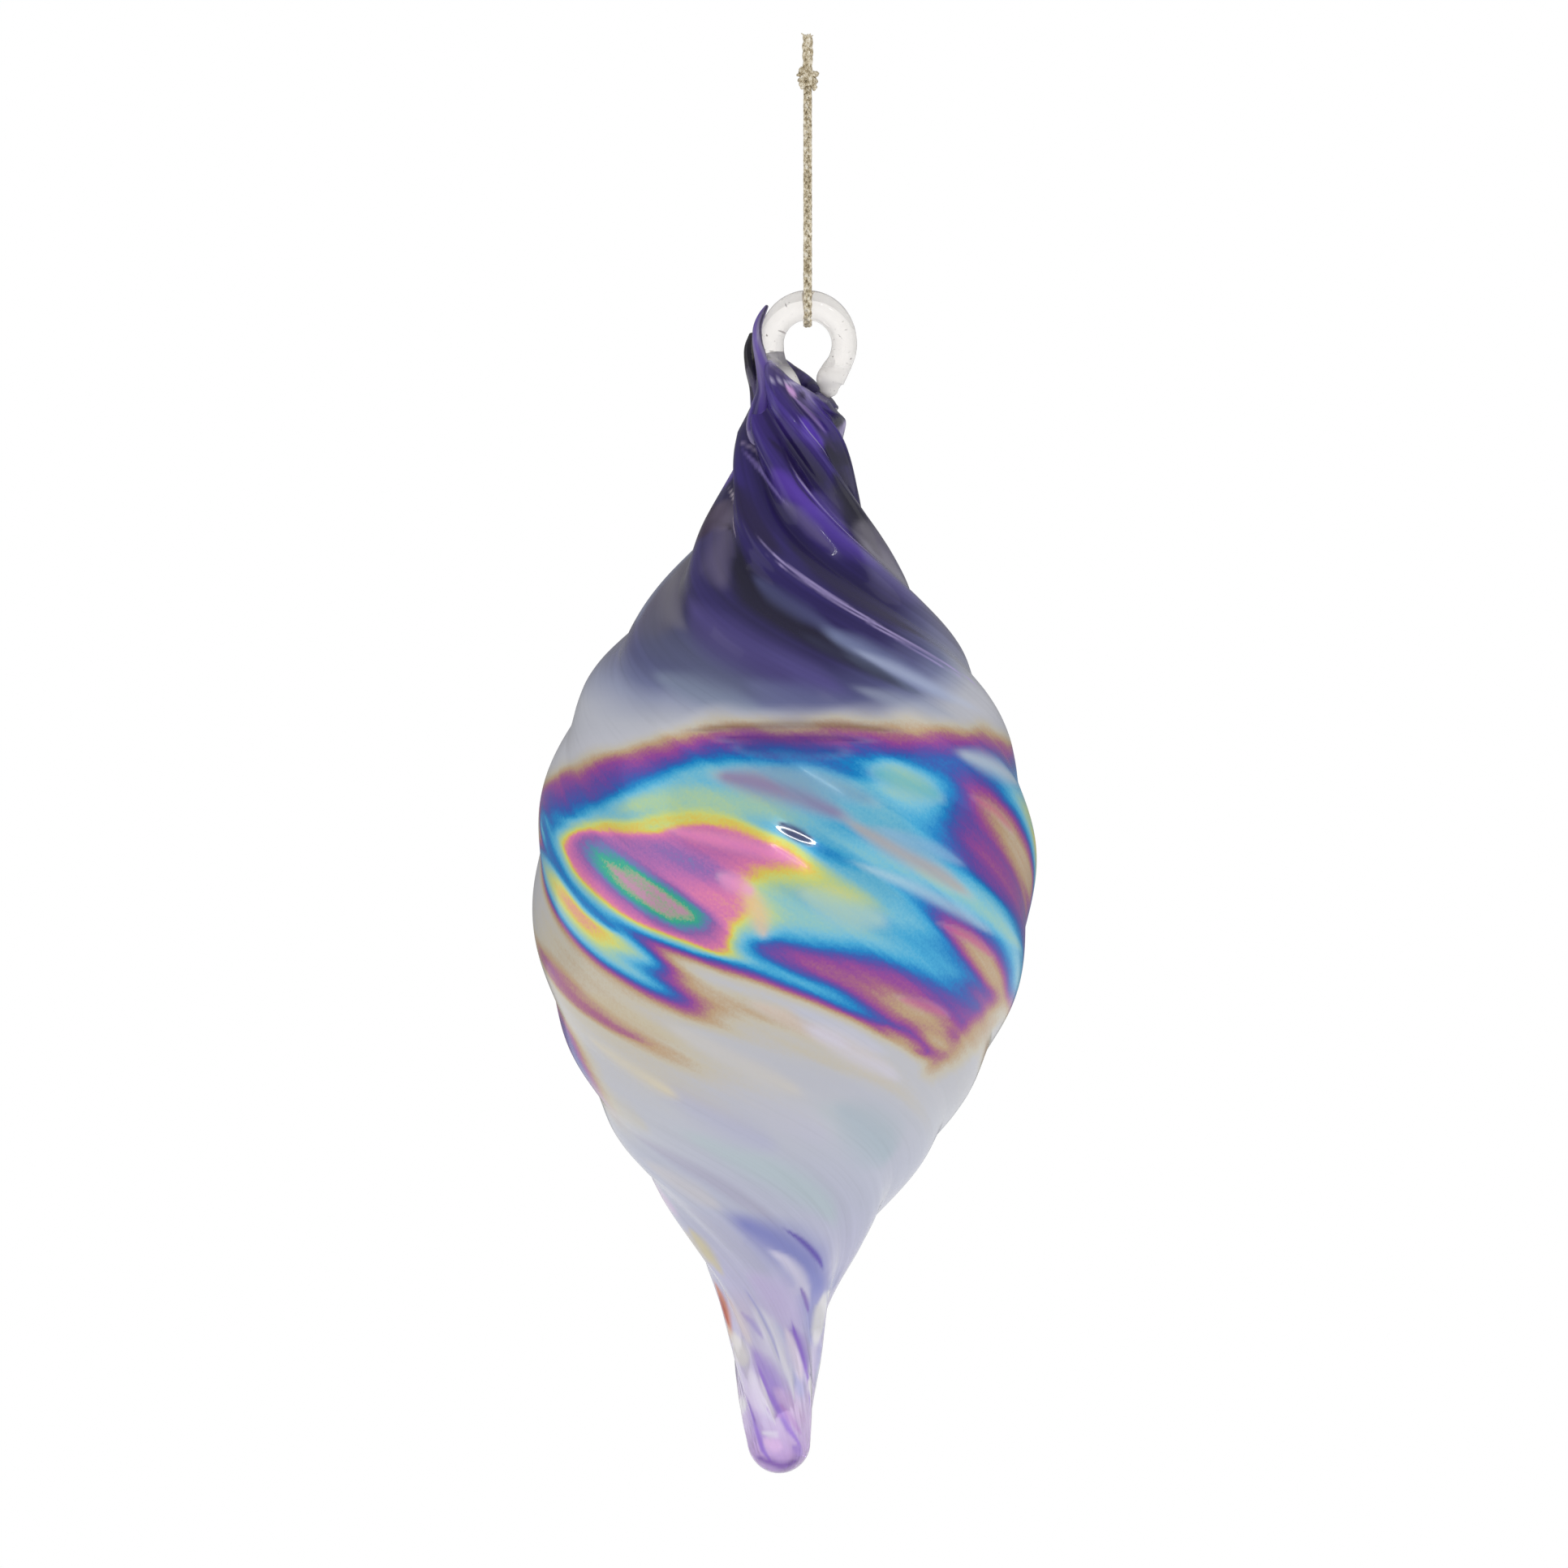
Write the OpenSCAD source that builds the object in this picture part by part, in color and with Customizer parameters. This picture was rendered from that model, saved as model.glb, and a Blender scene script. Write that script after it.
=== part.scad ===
// Icicle hanging ornament: a hollow blown glass drop with twisted ribs, an applied
// clear glass loop and a closed loop of metallic cord. It hangs along Z, and the
// origin is the hanging eye, inside the top of the cord loop, just under its knot.
// X runs across the glass loop and Y goes through it. Front is -Y.

/* [Glass] */
// Height of the glass, from the top of its loop to the tip
glass_h = 150; // [146:1:156]
// Width of the bulb, as a share of the real one
bulb_scale = 1; // [0.9:0.01:1.05]
// How deep the twisted ribs are, as a share of the real depth
rib_depth = 1; // [0.5:0.05:1.3]
// How far the glass leans and bows to the left, as a share of the real one
lean = 1; // [0:0.1:1.2]

/* [Glass loop] */
// Radius of the hole in the clear loop
eye_r = 3.05; // [2.9:0.05:3.3]
// Radius of the clear rod at the top of the loop
rod_top_r = 1.9; // [1.8:0.05:2]
// Radius of the clear rod at the sides of the loop
rod_side_r = 1.6; // [1.4:0.05:1.7]

/* [Cord] */
// Diameter of the metallic cord
cord_d = 1.1; // [0.9:0.05:1.1]
// Drop from the hanging eye to the middle of the rod at the top of the glass loop
cord_drop = 27.2; // [27.2:0.1:28]

/* [Hidden] */

ribs = 7;
cols_per_rib = 6;
cols = ribs * cols_per_rib;

ring_z = -(cord_drop + rod_top_r + eye_r); // middle of the glass loop's hole
tip_z = -(cord_drop - rod_top_r) - glass_h;

// The outline of the glass: [height above the tip, mean radius]
tip_r = 3.95;
outline = [
    [tip_r, tip_r], [12, 5.0], [23.5, 7.5], [29, 10.4], [45, 21.7], [61.5, 29.6], [75, 31.6], [94, 27.9],
    [103, 23.1], [111, 16.8], [119, 10.9], [125, 7.8], [131, 6.4], [137, 5.9], [140, 5.2]
];
// Middle of the glass in X, to the left of the loop's middle: [height above the tip, x]
sway = [[0, -3.6], [16, -4], [47, -3.5], [76, -3], [111, -2.7], [131, -2], [139, -1.7]];
// Thickness of the glass: [height above the tip, wall]
wall = [[10, 3.0], [22, 3.4], [32, 2.6], [50, 1.7], [75, 1.3], [100, 1.9], [117, 3.8], [128, 4.4], [139, 3.2]];
// Angle of one rib's crest, turning left to right across the front on its way down
twist = [
    [0, 457], [27, 347], [60, 193], [79, 141], [95, 90], [113, 8], [120, -27], [127, -62], [133, -102], [140, -160]
];
// Depth of the ribs as a share of the radius
depth = [
    [0, 0], [4, 0.03], [14, 0.06], [27, 0.05], [45, 0.018], [75, 0.018], [100, 0.023], [115, 0.06],
    [124, 0.13], [133, 0.11], [140, 0.04]
];
cavity_floor = 7; // height of the cavity's lowest point above the tip
mouth_h = 138.9; // where the outer skin turns over into the mouth
mouth_rise = 0.7; // the mouth is higher on the left: rise for each mm to the left
mouth_tip = 0.27; // and it leans to the front: drop for each mm to the front
mouth_from = 130; // the slant of the mouth starts here
mouth_flat = 3.2; // further left than this from its middle, the mouth rises no more
pinch = 0.24; // how far the left side is drawn in over its last rib, as a share of the radius
pinch_from = 132; // the draw starts here
pinch_l = 4; // and is complete this much higher

// A smooth curve through a table of [position, value], flat past its ends
function slope_at(t, i) =
    i == 0 || i == len(t) - 1
        ? (t[min(i + 1, len(t) - 1)][1] - t[max(i - 1, 0)][1])
            / (t[min(i + 1, len(t) - 1)][0] - t[max(i - 1, 0)][0])
        : let (a = (t[i][1] - t[i - 1][1]) / (t[i][0] - t[i - 1][0]),
               b = (t[i + 1][1] - t[i][1]) / (t[i + 1][0] - t[i][0]),
               wa = t[i + 1][0] - t[i][0], wb = t[i][0] - t[i - 1][0])
          (a * wa + b * wb) / (wa + wb);
function smooth_at(t, x, i = 0) =
    x <= t[0][0] ? t[0][1]
    : x >= t[len(t) - 1][0] ? t[len(t) - 1][1]
    : x > t[i + 1][0] ? smooth_at(t, x, i + 1)
    : let (w = t[i + 1][0] - t[i][0], u = (x - t[i][0]) / w)
      (2 * u * u * u - 3 * u * u + 1) * t[i][1] + (u * u * u - 2 * u * u + u) * w * slope_at(t, i)
      + (3 * u * u - 2 * u * u * u) * t[i + 1][1] + (u * u * u - u * u) * w * slope_at(t, i + 1);

// Mean radius of the outer skin: a round end, then the outline
function mean_r(h) =
    (h < tip_r ? sqrt(max(0, 2 * tip_r * h - h * h)) : smooth_at(outline, h))
    * (h > 30 && h < 120 ? 1 + (bulb_scale - 1) * sin((h - 30) * 2) : 1);

// A rib across its own width, 0 to 1: round on its crest and tighter in the valley
function rib_shape(u) = 0.6 * cos(360 * u) + 0.8 * (abs(cos(180 * u)) - 0.6366);

// Where a point of the glass is. i is the column and in_by how far it lies under the skin.
function glass_point(h, i, in_by) =
    let (a = smooth_at(twist, h) + i * 360 / cols,
         rib = 1 + rib_depth * smooth_at(depth, h) * rib_shape(i / cols_per_rib),
         left = pow(max(0, -sin(a)), 2),
         drawn = 1 - pinch * left * min(1, max(0, h - pinch_from) / pinch_l),
         r = max(0.01, mean_r(h) * rib * drawn - in_by),
         x = r * sin(a), y = -r * cos(a),
         top = max(0, min(1, (h - mouth_from) / (mouth_h - mouth_from))),
         lift = top * top * (mouth_tip * y - mouth_rise * max(x, -mouth_flat)))
    [lean * smooth_at(sway, h) + x, y, tip_z + h + lift];

// Heights and depths under the skin of every ring, from the tip up to the mouth,
// over its lip and down inside to the floor of the cavity
outer_rings = concat(
    [for (a = [20:17.5:90]) [tip_r * (1 - cos(a)), 0]],
    [for (h = [6:2.75:mouth_h - 0.6]) [h, 0]]
);
lip_rings = [[mouth_h, 0.5], [mouth_h + 0.6, 1.4], [mouth_h + 0.2, 2.4], [mouth_h - 1, 2.95]];
cavity_rings = concat(
    [for (h = [mouth_h - 4:-6.5:cavity_floor + 5]) [h, smooth_at(wall, h)]],
    [for (s = [0.7, 0.4]) [cavity_floor + s * s * 4, mean_r(cavity_floor + 4) - s * 1.8]]
);
rings = concat(outer_rings, lip_rings, cavity_rings);

// Closes rings of n points, from one end point to the other, into a solid
module skin(start, rows, end) {
    n = len(rows[0]);
    last = len(rows) - 1;
    polyhedron(
        points = concat([start], [for (row = rows) each row], [end]),
        faces = concat(
            [for (i = [0:n - 1]) [0, 1 + i, 1 + (i + 1) % n]],
            [for (k = [0:last - 1], i = [0:n - 1], half = [0, 1])
                let (a = 1 + k * n + i, b = 1 + k * n + (i + 1) % n)
                half == 0 ? [a, a + n, b + n] : [a, b + n, b]],
            [for (i = [0:n - 1]) [1 + last * n + i, 1 + (last + 1) * n, 1 + last * n + (i + 1) % n]]
        )
    );
}

// A round tube that tapers, as a chain of hulls of balls. Each stop is [x, y, z, r].
module trail(stops) {
    for (k = [0:len(stops) - 2])
        hull()
            for (s = [stops[k], stops[k + 1]])
                translate([s[0], s[1], s[2]]) sphere(r = s[3], $fn = 14);
}

// The two violet trails that the neck's ribs were drawn out into, up the left of the loop
front_trail = [
    [-5.4, -1.9, -45, 1.2], [-6.3, -2.2, -42.8, 1.5], [-5.7, -2.6, -40.4, 1.5], [-5.2, -2.5, -38.2, 1.3],
    [-5.5, -2.2, -36, 1.05], [-6, -1.7, -33.8, 0.8], [-6.4, -1.3, -31.6, 0.65], [-6.3, -1.1, -29.8, 0.6],
    [-5.6, -1, -28.2, 0.45], [-5.2, -0.9, -27.4, 0.3]
];
rear_trail = [
    [-6, 1.2, -44, 1.2], [-6.2, 1.8, -40.6, 1], [-6.5, 2, -37.6, 0.9], [-7.1, 1.9, -34.8, 0.95],
    [-7.3, 1.7, -32.4, 0.8], [-7, 1.4, -30.8, 0.4]
];

module glass_bulb() {
    color([0.45, 0.36, 0.72])
        union() {
            skin(
                [lean * sway[0][1], 0, tip_z],
                [for (row = rings) [for (i = [0:cols - 1]) glass_point(row[0], i, row[1])]],
                glass_point(cavity_floor, 0, mean_r(cavity_floor) + 1)
            );
            trail(front_trail);
            trail(rear_trail);
        }
}

// Points around one spot of a bent tube. The path runs in the X-Z plane unless across is given.
function ring_around(p, along, r, n, across = [0, 1, 0]) =
    let (side = cross(across, along / norm(along)))
    [for (i = [0:n - 1]) p + r * (cos(i * 360 / n) * side + sin(i * 360 / n) * across)];

// The clear rod: its foot in the neck, round the eye, and its end laid on the mouth. Each stop is [x, z, r].
rod_foot = [[-1.7, -43, 1.5], [-1.9, -41, 1.6], [-2.2, -39, 1.8], [-3, -37, 1.85], [-4.2, -35, 1.7]];
rod_end = [[4.1, -34.4, 1.6], [3.3, -35.8, 1.75], [2.8, -36.8, 1.75], [2.7, -37.8, 1.2], [2.6, -38.3, 0.5]];
function rod_r(a) = rod_side_r + (rod_top_r - rod_side_r) * pow(max(0, cos(a)), 2);
rod_stops = concat(
    rod_foot,
    [for (a = [-95:15:110]) [(eye_r + rod_r(a)) * sin(a), ring_z + (eye_r + rod_r(a)) * cos(a), rod_r(a)]],
    rod_end
);
rod_sides = 16;
rod_steps = 2; // rings for each stop
function rod_at(k, column) = smooth_at([for (j = [0:len(rod_stops) - 1]) [j, rod_stops[j][column]]], k);

module glass_loop() {
    steps = [for (k = [0:1 / rod_steps:len(rod_stops) - 1]) [rod_at(k, 0), 0, rod_at(k, 1), rod_at(k, 2)]];
    spots = [for (s = steps) [s[0], 0, s[2]]];
    n = len(spots);
    color([0.92, 0.93, 0.92, 0.6])
        skin(
            spots[0],
            [for (k = [0:n - 1])
                ring_around(spots[k], spots[min(k + 1, n - 1)] - spots[max(k - 1, 0)], steps[k][3], rod_sides)],
            spots[n - 1] + [-0.05, 0, -0.1]
        );
}

// The cord's route in its own plane, [y, z]: from the knot, under the glass rod and back
upper_route = [[-0.62, 0.2], [-0.8, -2.8], [-1.0, -5.6], [-1.2, -8.4], [-1.4, -11.2], [-1.55, -13.4]];
lower_route = [[-1.55, -13.5], [-1.8, -16.2], [-2.0, -18.9], [-2.2, -21.6], [-2.4, -24.3], [-2.55, -27.2],
    [-2.35, -28.2], [-1.8, -29], [-1, -29.55], [0, -29.75], [1, -29.55], [1.8, -29], [2.35, -28.2],
    [2.55, -27.2], [2.4, -24.3], [2.2, -21.6], [2, -18.9], [1.8, -16.2], [1.55, -13.5]];
cord_sides = 8;

module cord(route) {
    n = len(route);
    spots = [for (p = route) [0, p[0], p[1]]];
    skin(
        spots[0],
        [for (k = [0:n - 1])
            ring_around(spots[k], spots[min(k + 1, n - 1)] - spots[max(k - 1, 0)], cord_d / 2, cord_sides, [1, 0, 0])],
        spots[n - 1]
    );
}

module cord_upper() {
    color([0.78, 0.72, 0.58])
        for (side = [0, 1]) mirror([0, side, 0]) cord(upper_route);
}

module cord_lower() {
    color([0.78, 0.72, 0.58]) cord(lower_route);
}

// The overhand knot that ties the ends of the cord, with their two trimmed tails
knot_r = 1.5;
tail_l = 4.5;
tail_splay = 14;
module cord_knot() {
    color([0.72, 0.66, 0.5])
        translate([0, 0, knot_r + 0.05]) {
            sphere(r = knot_r, $fn = 32);
            for (side = [-1, 1])
                rotate([-side * tail_splay, 0, 0])
                    translate([0, side * 0.3, 0]) cylinder(r = cord_d / 2, h = knot_r + tail_l, $fn = 24);
        }
}

glass_bulb();
glass_loop();
cord_knot();
cord_upper();
cord_lower();
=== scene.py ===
"""Looks for the icicle hanging ornament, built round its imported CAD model.

Tables of the glass are in millimetres and degrees, as in the CAD source; a height is above the
glass's tip, and an angle round it is 0 at the front (-Y) and 90 at +X. Meshes are in metres.
"""

import math

import bpy
import numpy as np
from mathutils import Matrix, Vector


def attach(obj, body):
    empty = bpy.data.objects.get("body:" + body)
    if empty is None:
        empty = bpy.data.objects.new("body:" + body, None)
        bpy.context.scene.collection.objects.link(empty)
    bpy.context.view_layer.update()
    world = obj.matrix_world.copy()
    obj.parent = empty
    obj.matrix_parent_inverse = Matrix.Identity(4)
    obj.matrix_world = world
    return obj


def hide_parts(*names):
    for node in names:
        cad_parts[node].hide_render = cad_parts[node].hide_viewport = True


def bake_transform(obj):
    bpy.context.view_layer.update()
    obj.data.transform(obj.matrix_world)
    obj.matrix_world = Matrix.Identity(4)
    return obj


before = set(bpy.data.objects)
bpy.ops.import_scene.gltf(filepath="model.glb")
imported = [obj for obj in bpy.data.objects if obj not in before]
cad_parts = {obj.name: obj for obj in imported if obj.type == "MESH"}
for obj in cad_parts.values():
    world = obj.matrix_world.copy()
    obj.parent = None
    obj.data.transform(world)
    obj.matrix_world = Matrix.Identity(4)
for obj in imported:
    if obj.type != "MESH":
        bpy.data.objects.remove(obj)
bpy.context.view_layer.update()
MM = 0.001
RANDOM = np.random.default_rng(11)

# ---------------------------------------------------------------- camera

# The middle and width of the view and the camera's distance in metres, and its sensor in millimetres
VIEW_X, VIEW_Z = -0.0030, -0.0879
VIEW_WIDTH = 0.1988
CAMERA_DISTANCE = 3.0
SENSOR = 36.0


def make_camera():
    """A long lens, level with the middle of the ornament."""
    data = bpy.data.cameras.new("camera")
    data.sensor_width = SENSOR
    data.lens = SENSOR * CAMERA_DISTANCE / VIEW_WIDTH
    data.clip_start = 0.05
    data.clip_end = 60.0
    data.dof.use_dof = False
    camera = bpy.data.objects.new("camera", data)
    camera.location = (VIEW_X, -CAMERA_DISTANCE, VIEW_Z)
    camera.rotation_euler = (math.radians(90), 0, 0)
    bpy.context.scene.collection.objects.link(camera)
    bpy.context.scene.camera = camera


# ---------------------------------------------------------------- small tools


def smooth_at(table, x):
    """A smooth curve through (position, value) rows, flat past its ends."""
    rows = np.array(table, float)
    xs, ys = rows[:, 0], rows[:, 1]
    width = np.diff(xs)
    rise = np.diff(ys) / width
    slope = np.empty(len(xs))
    slope[0], slope[-1] = rise[0], rise[-1]
    slope[1:-1] = (rise[:-1] * width[1:] + rise[1:] * width[:-1]) / (width[1:] + width[:-1])
    x = np.clip(np.asarray(x, float), xs[0], xs[-1])
    k = np.clip(np.searchsorted(xs, x) - 1, 0, len(width) - 1)
    u = (x - xs[k]) / width[k]
    return (
        (2 * u**3 - 3 * u**2 + 1) * ys[k]
        + (u**3 - 2 * u**2 + u) * width[k] * slope[k]
        + (3 * u**2 - 2 * u**3) * ys[k + 1]
        + (u**3 - u**2) * width[k] * slope[k + 1]
    )


def ease(low, high, x):
    """0 below low, 1 above high, and smooth in between."""
    t = np.clip((x - low) / (high - low), 0, 1)
    return t * t * (3 - 2 * t)


def turn(angle):
    """The angle brought into -180 to 180 degrees."""
    return (angle + 180) % 360 - 180


def linear(colour):
    """A colour of 0 to 255 steps as linear light."""
    c = np.array(colour, float) / 255
    return np.where(c <= 0.04045, c / 12.92, ((c + 0.055) / 1.055) ** 2.4)


def link_object(name, mesh):
    """A new object of that mesh, in the scene."""
    piece = bpy.data.objects.new(name, mesh)
    bpy.context.scene.collection.objects.link(piece)
    return piece


def mesh_of(name, points, faces):
    """A smooth-shaded mesh. Points are in metres."""
    mesh = bpy.data.meshes.new(name)
    mesh.from_pydata(np.asarray(points).tolist(), [], faces)
    mesh.validate()
    mesh.shade_smooth()
    return mesh


def ring_faces(first, rings, sides):
    """Quads between rings of points that follow each other from index first."""
    k, i = np.meshgrid(np.arange(rings - 1), np.arange(sides), indexing="ij")
    a = first + k * sides + i
    b = first + k * sides + (i + 1) % sides
    return np.stack([a, b, b + sides, a + sides], -1).reshape(-1, 4).tolist()


def fan_faces(tip, first, sides, outward):
    """Triangles from one end point to the ring that starts at index first."""
    pairs = [(first + i, first + (i + 1) % sides) for i in range(sides)]
    return [(tip, b, a) if outward else (tip, a, b) for a, b in pairs]


def toward(value, goal, share):
    """The value moved by that share of the way to the goal."""
    return value + (goal - value) * share


def colour_at(x, stops, colours):
    """Linear light at x between colours that stand at the stops."""
    light = np.array([linear(colour) for colour in colours])
    return np.stack([np.interp(x, stops, light[:, c]) for c in range(3)], -1)


def run_of(points):
    """How far along its path each point lies."""
    return np.concatenate([[0], np.cumsum(np.linalg.norm(np.diff(points, axis=0), axis=1))])


def along_path(stops, spacing):
    """Points, and any further columns, on a smooth curve through the stops, about spacing apart."""
    stops = np.array(stops, float)
    at = run_of(stops[:, :3])
    count = max(3, int(round(at[-1] / spacing)) + 1)
    where = np.linspace(0, at[-1], count)
    return np.stack([smooth_at(np.stack([at, column], 1), where) for column in stops.T], 1)


def path_frames(points, side):
    """Direction, side and normal at each point of a path, turning as little as possible."""
    along = np.gradient(points, axis=0)
    along /= np.linalg.norm(along, axis=1)[:, None]
    sides = np.empty_like(points)
    side = np.array(side, float)
    for k, direction in enumerate(along):
        side = side - direction * (side @ direction)
        side = side / np.linalg.norm(side)
        sides[k] = side
    return along, sides, np.cross(along, sides)


CAP_LEANS = np.radians([18, 42, 66])
CAP_REACH = 0.9
CAP_POLE = 0.93


def cap_rings(k, centre, outward, radius):
    """Index, centre and radius of the rings that round off one end of a tube, from its pole."""
    reach = radius * CAP_REACH
    return [(k, centre + outward * reach * math.cos(lean), radius * math.sin(lean)) for lean in CAP_LEANS]


def tube_points(points, radii, sides, side=(0, 1, 0), flat=1.0, lobes=0, lobe_depth=0.0, lobe_turns=0.0):
    """Rings round a path, with round ends. flat squeezes it along its normal, and lobes flute it."""
    along, across, normal = path_frames(points, side)
    radii = np.broadcast_to(np.asarray(radii, float), (len(points),))
    angle = np.arange(sides) * 2 * math.pi / sides
    length = run_of(points)
    rows = cap_rings(0, points[0], -along[0], radii[0])
    rows += [(k, points[k], radii[k]) for k in range(len(points))]
    rows += cap_rings(len(points) - 1, points[-1], along[-1], radii[-1])[::-1]
    rings = []
    for k, centre, size in rows:
        r = size * (1 + lobe_depth * np.cos(lobes * angle + 2 * math.pi * lobe_turns * length[k]))
        x, y = r * np.cos(angle), r * np.sin(angle) * flat
        rings.append(centre + np.outer(x, across[k]) + np.outer(y, normal[k]))
    start = points[0] - along[0] * radii[0] * CAP_POLE
    end = points[-1] + along[-1] * radii[-1] * CAP_POLE
    return np.vstack([start[None], *rings, end[None]]), len(rings)


def tube_faces(first, rings, sides):
    """Faces of a tube whose start point has index first."""
    last = first + 1 + rings * sides
    faces = ring_faces(first + 1, rings, sides)
    faces += fan_faces(first, first + 1, sides, True)
    faces += fan_faces(last, last - sides, sides, False)
    return faces


def several_tubes(name, tubes, sides):
    """One mesh of several tubes. Each item is what tube_points returns."""
    points, faces, first = [], [], 0
    for tube, rings in tubes:
        points.append(tube)
        faces += tube_faces(first, rings, sides)
        first += len(tube)
    return mesh_of(name, np.vstack(points), faces)


def store(mesh, name, values, kind="FLOAT"):
    """Keeps one value, vector or colour for each point of the mesh."""
    layer = mesh.attributes.new(name, kind, "POINT")
    if kind == "FLOAT_COLOR":
        values = np.concatenate([values, np.ones((len(values), 1))], 1)
    field = {"FLOAT_COLOR": "color", "FLOAT_VECTOR": "vector"}.get(kind, "value")
    layer.data.foreach_set(field, values.astype(np.float32).ravel())


# ---------------------------------------------------------------- shader tools


class Nodes:
    """Short names for the nodes of one material or world."""

    def __init__(self, owner):
        owner.use_nodes = True
        self.owner = owner
        self.tree = owner.node_tree
        self.shader = self.tree.nodes.get("Principled BSDF") or self.tree.nodes["Background"]

    def put(self, value, socket):
        if isinstance(value, bpy.types.NodeSocket):
            self.tree.links.new(value, socket)
        else:
            socket.default_value = value

    def surface(self, **values):
        for name, value in values.items():
            self.put(value, self.shader.inputs[name.replace("_", " ")])

    def add(self, kind, inputs, output=0, **settings):
        """A new node with those settings and inputs, and the output that is wanted of it."""
        node = self.tree.nodes.new("ShaderNode" + kind)
        for name, value in settings.items():
            setattr(node, name, value)
        for key, value in inputs.items():
            self.put(value, node.inputs[key])
        return node.outputs[output]

    def math(self, operation, a, b=0.0, c=0.0):
        return self.add("Math", {0: a, 1: b, 2: c}, operation=operation)

    def attribute(self, name, output="Fac"):
        return self.add("Attribute", {}, output, attribute_name=name)

    def place(self, kind="Object"):
        return self.add("TexCoord", {}, kind)

    def scaled(self, vector, size):
        return self.add("VectorMath", {0: vector, 1: size}, operation="MULTIPLY")

    def noise(self, vector, scale, detail=2.0, roughness=0.5):
        inputs = {"Vector": vector, "Scale": scale, "Detail": detail, "Roughness": roughness}
        return self.add("TexNoise", inputs, "Fac")

    def ramp(self, value, stops):
        node = self.tree.nodes.new("ShaderNodeValToRGB")
        self.put(value, node.inputs["Fac"])
        while len(node.color_ramp.elements) < len(stops):
            node.color_ramp.elements.new(0.5)
        for element, (position, colour) in zip(node.color_ramp.elements, stops):
            element.position = position
            element.color = (*linear(colour), 1)
        return node.outputs["Color"]

    def mix(self, share, a, b, kind="MIX"):
        """Colour a, and b by that share."""
        return self.add("Mix", {0: share, 6: a, 7: b}, 2, data_type="RGBA", blend_type=kind)

    def choose(self, share, a, b):
        """Number a, and b by that share."""
        return self.add("Mix", {0: share, 2: a, 3: b}, data_type="FLOAT")

    def bump(self, height, strength, distance, under=None):
        inputs = {"Height": height, "Strength": strength, "Distance": distance}
        if under is not None:
            inputs["Normal"] = under
        return self.add("Bump", inputs)


# ---------------------------------------------------------------- cord

STITCH = 1.26 * MM
YARN_WIDE = 0.285 * MM
YARN_FLAT = 0.80
PLAIT_WIDE = 0.27 * MM
PLAIT_DEEP = 0.17 * MM
YARN_SIDES = 14
YARN_LOBES = 5
YARN_LOBE_DEPTH = 0.06
YARN_TURNS_PER_M = 420.0
CORD_STEP = 0.13 * MM
GAP_REACH = 0.45 * MM

# The route of the closed loop in its own plane, Y and Z, from the knot under the glass rod and back
ROUTE_DOWN = [
    (-0.62, 0.2), (-0.8, -2.8), (-1.0, -5.6), (-1.2, -8.4), (-1.4, -11.2), (-1.55, -13.5),
    (-1.8, -16.2), (-2.0, -18.9), (-2.2, -21.6), (-2.4, -24.3), (-2.55, -27.2), (-2.35, -28.2),
    (-1.8, -29.0), (-1.0, -29.5),
]
ROUTE_BOTTOM = (0.0, -29.66)


def cord_route():
    """The cord's centreline as points in metres, knot to knot."""
    down = [(0.0, y, z) for y, z in ROUTE_DOWN]
    up = [(0.0, -y, z) for y, z in reversed(ROUTE_DOWN)]
    return np.array(down + [(0.0, *ROUTE_BOTTOM)] + up) * MM


def plait(points, side, start=0.0, size=1.0):
    """Three flat yarns plaited along a path, as tubes."""
    _, across, normal = path_frames(points, side)
    length = run_of(points)
    tubes = []
    for yarn in range(3):
        phase = 2 * math.pi * ((length + start) / (3 * STITCH) + yarn / 3)
        x = PLAIT_WIDE * size * np.sin(phase)
        y = PLAIT_DEEP * size * np.sin(2 * phase)
        line = points + across * x[:, None] + normal * y[:, None]
        lobes = (YARN_LOBES, YARN_LOBE_DEPTH, YARN_TURNS_PER_M)
        tubes.append(tube_points(line, YARN_WIDE * size, YARN_SIDES, side, YARN_FLAT * size, *lobes))
    return tubes


YARN_COLOURS = [
    (0.30, (64, 52, 36)), (0.42, (126, 110, 82)), (0.52, (190, 174, 140)), (0.62, (236, 226, 202)),
    (0.75, (254, 250, 240)),
]


def cord_material():
    """Knitted metallic yarn: champagne filaments over olive and brown, with painted shade, dark brown, deep
    in the gaps between the yarns.
    """
    n = Nodes(bpy.data.materials.new("metallic_yarn"))
    place = n.place()
    fine = n.noise(n.scaled(place, (1.0, 1.0, 0.28)), 16000, 2.0, 0.6)
    broad = n.noise(place, 2100, 1.0)
    mixed = n.math("MULTIPLY_ADD", broad, 0.5, n.math("MULTIPLY", fine, 0.62))
    colour = n.ramp(mixed, YARN_COLOURS)
    gap_shade = n.attribute("gap_shade")
    # Painted shade: dark brown deep in the gaps between the yarns
    colour = n.mix(gap_shade, colour, (*linear((34, 26, 16)), 1))
    relief = n.bump(fine, 0.55, 0.00003)
    n.surface(
        Base_Color=colour,
        Metallic=n.math("MULTIPLY_ADD", gap_shade, -0.3, 0.4),
        Roughness=n.math("MULTIPLY_ADD", fine, 0.25, 0.24),
        Normal=relief,
    )
    return n.owner


def gap_shade_values(points, middle, reach):
    """How deep each point lies between the yarns, as its share of painted shade: 1 near the middle line of
    the plait.
    """
    away = np.full(len(points), 1e9)
    for k in range(0, len(middle), 2):
        away = np.minimum(away, np.linalg.norm(points - middle[k], axis=1))
    return 1 - ease(reach * 0.35, reach * 0.75, away)


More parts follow.
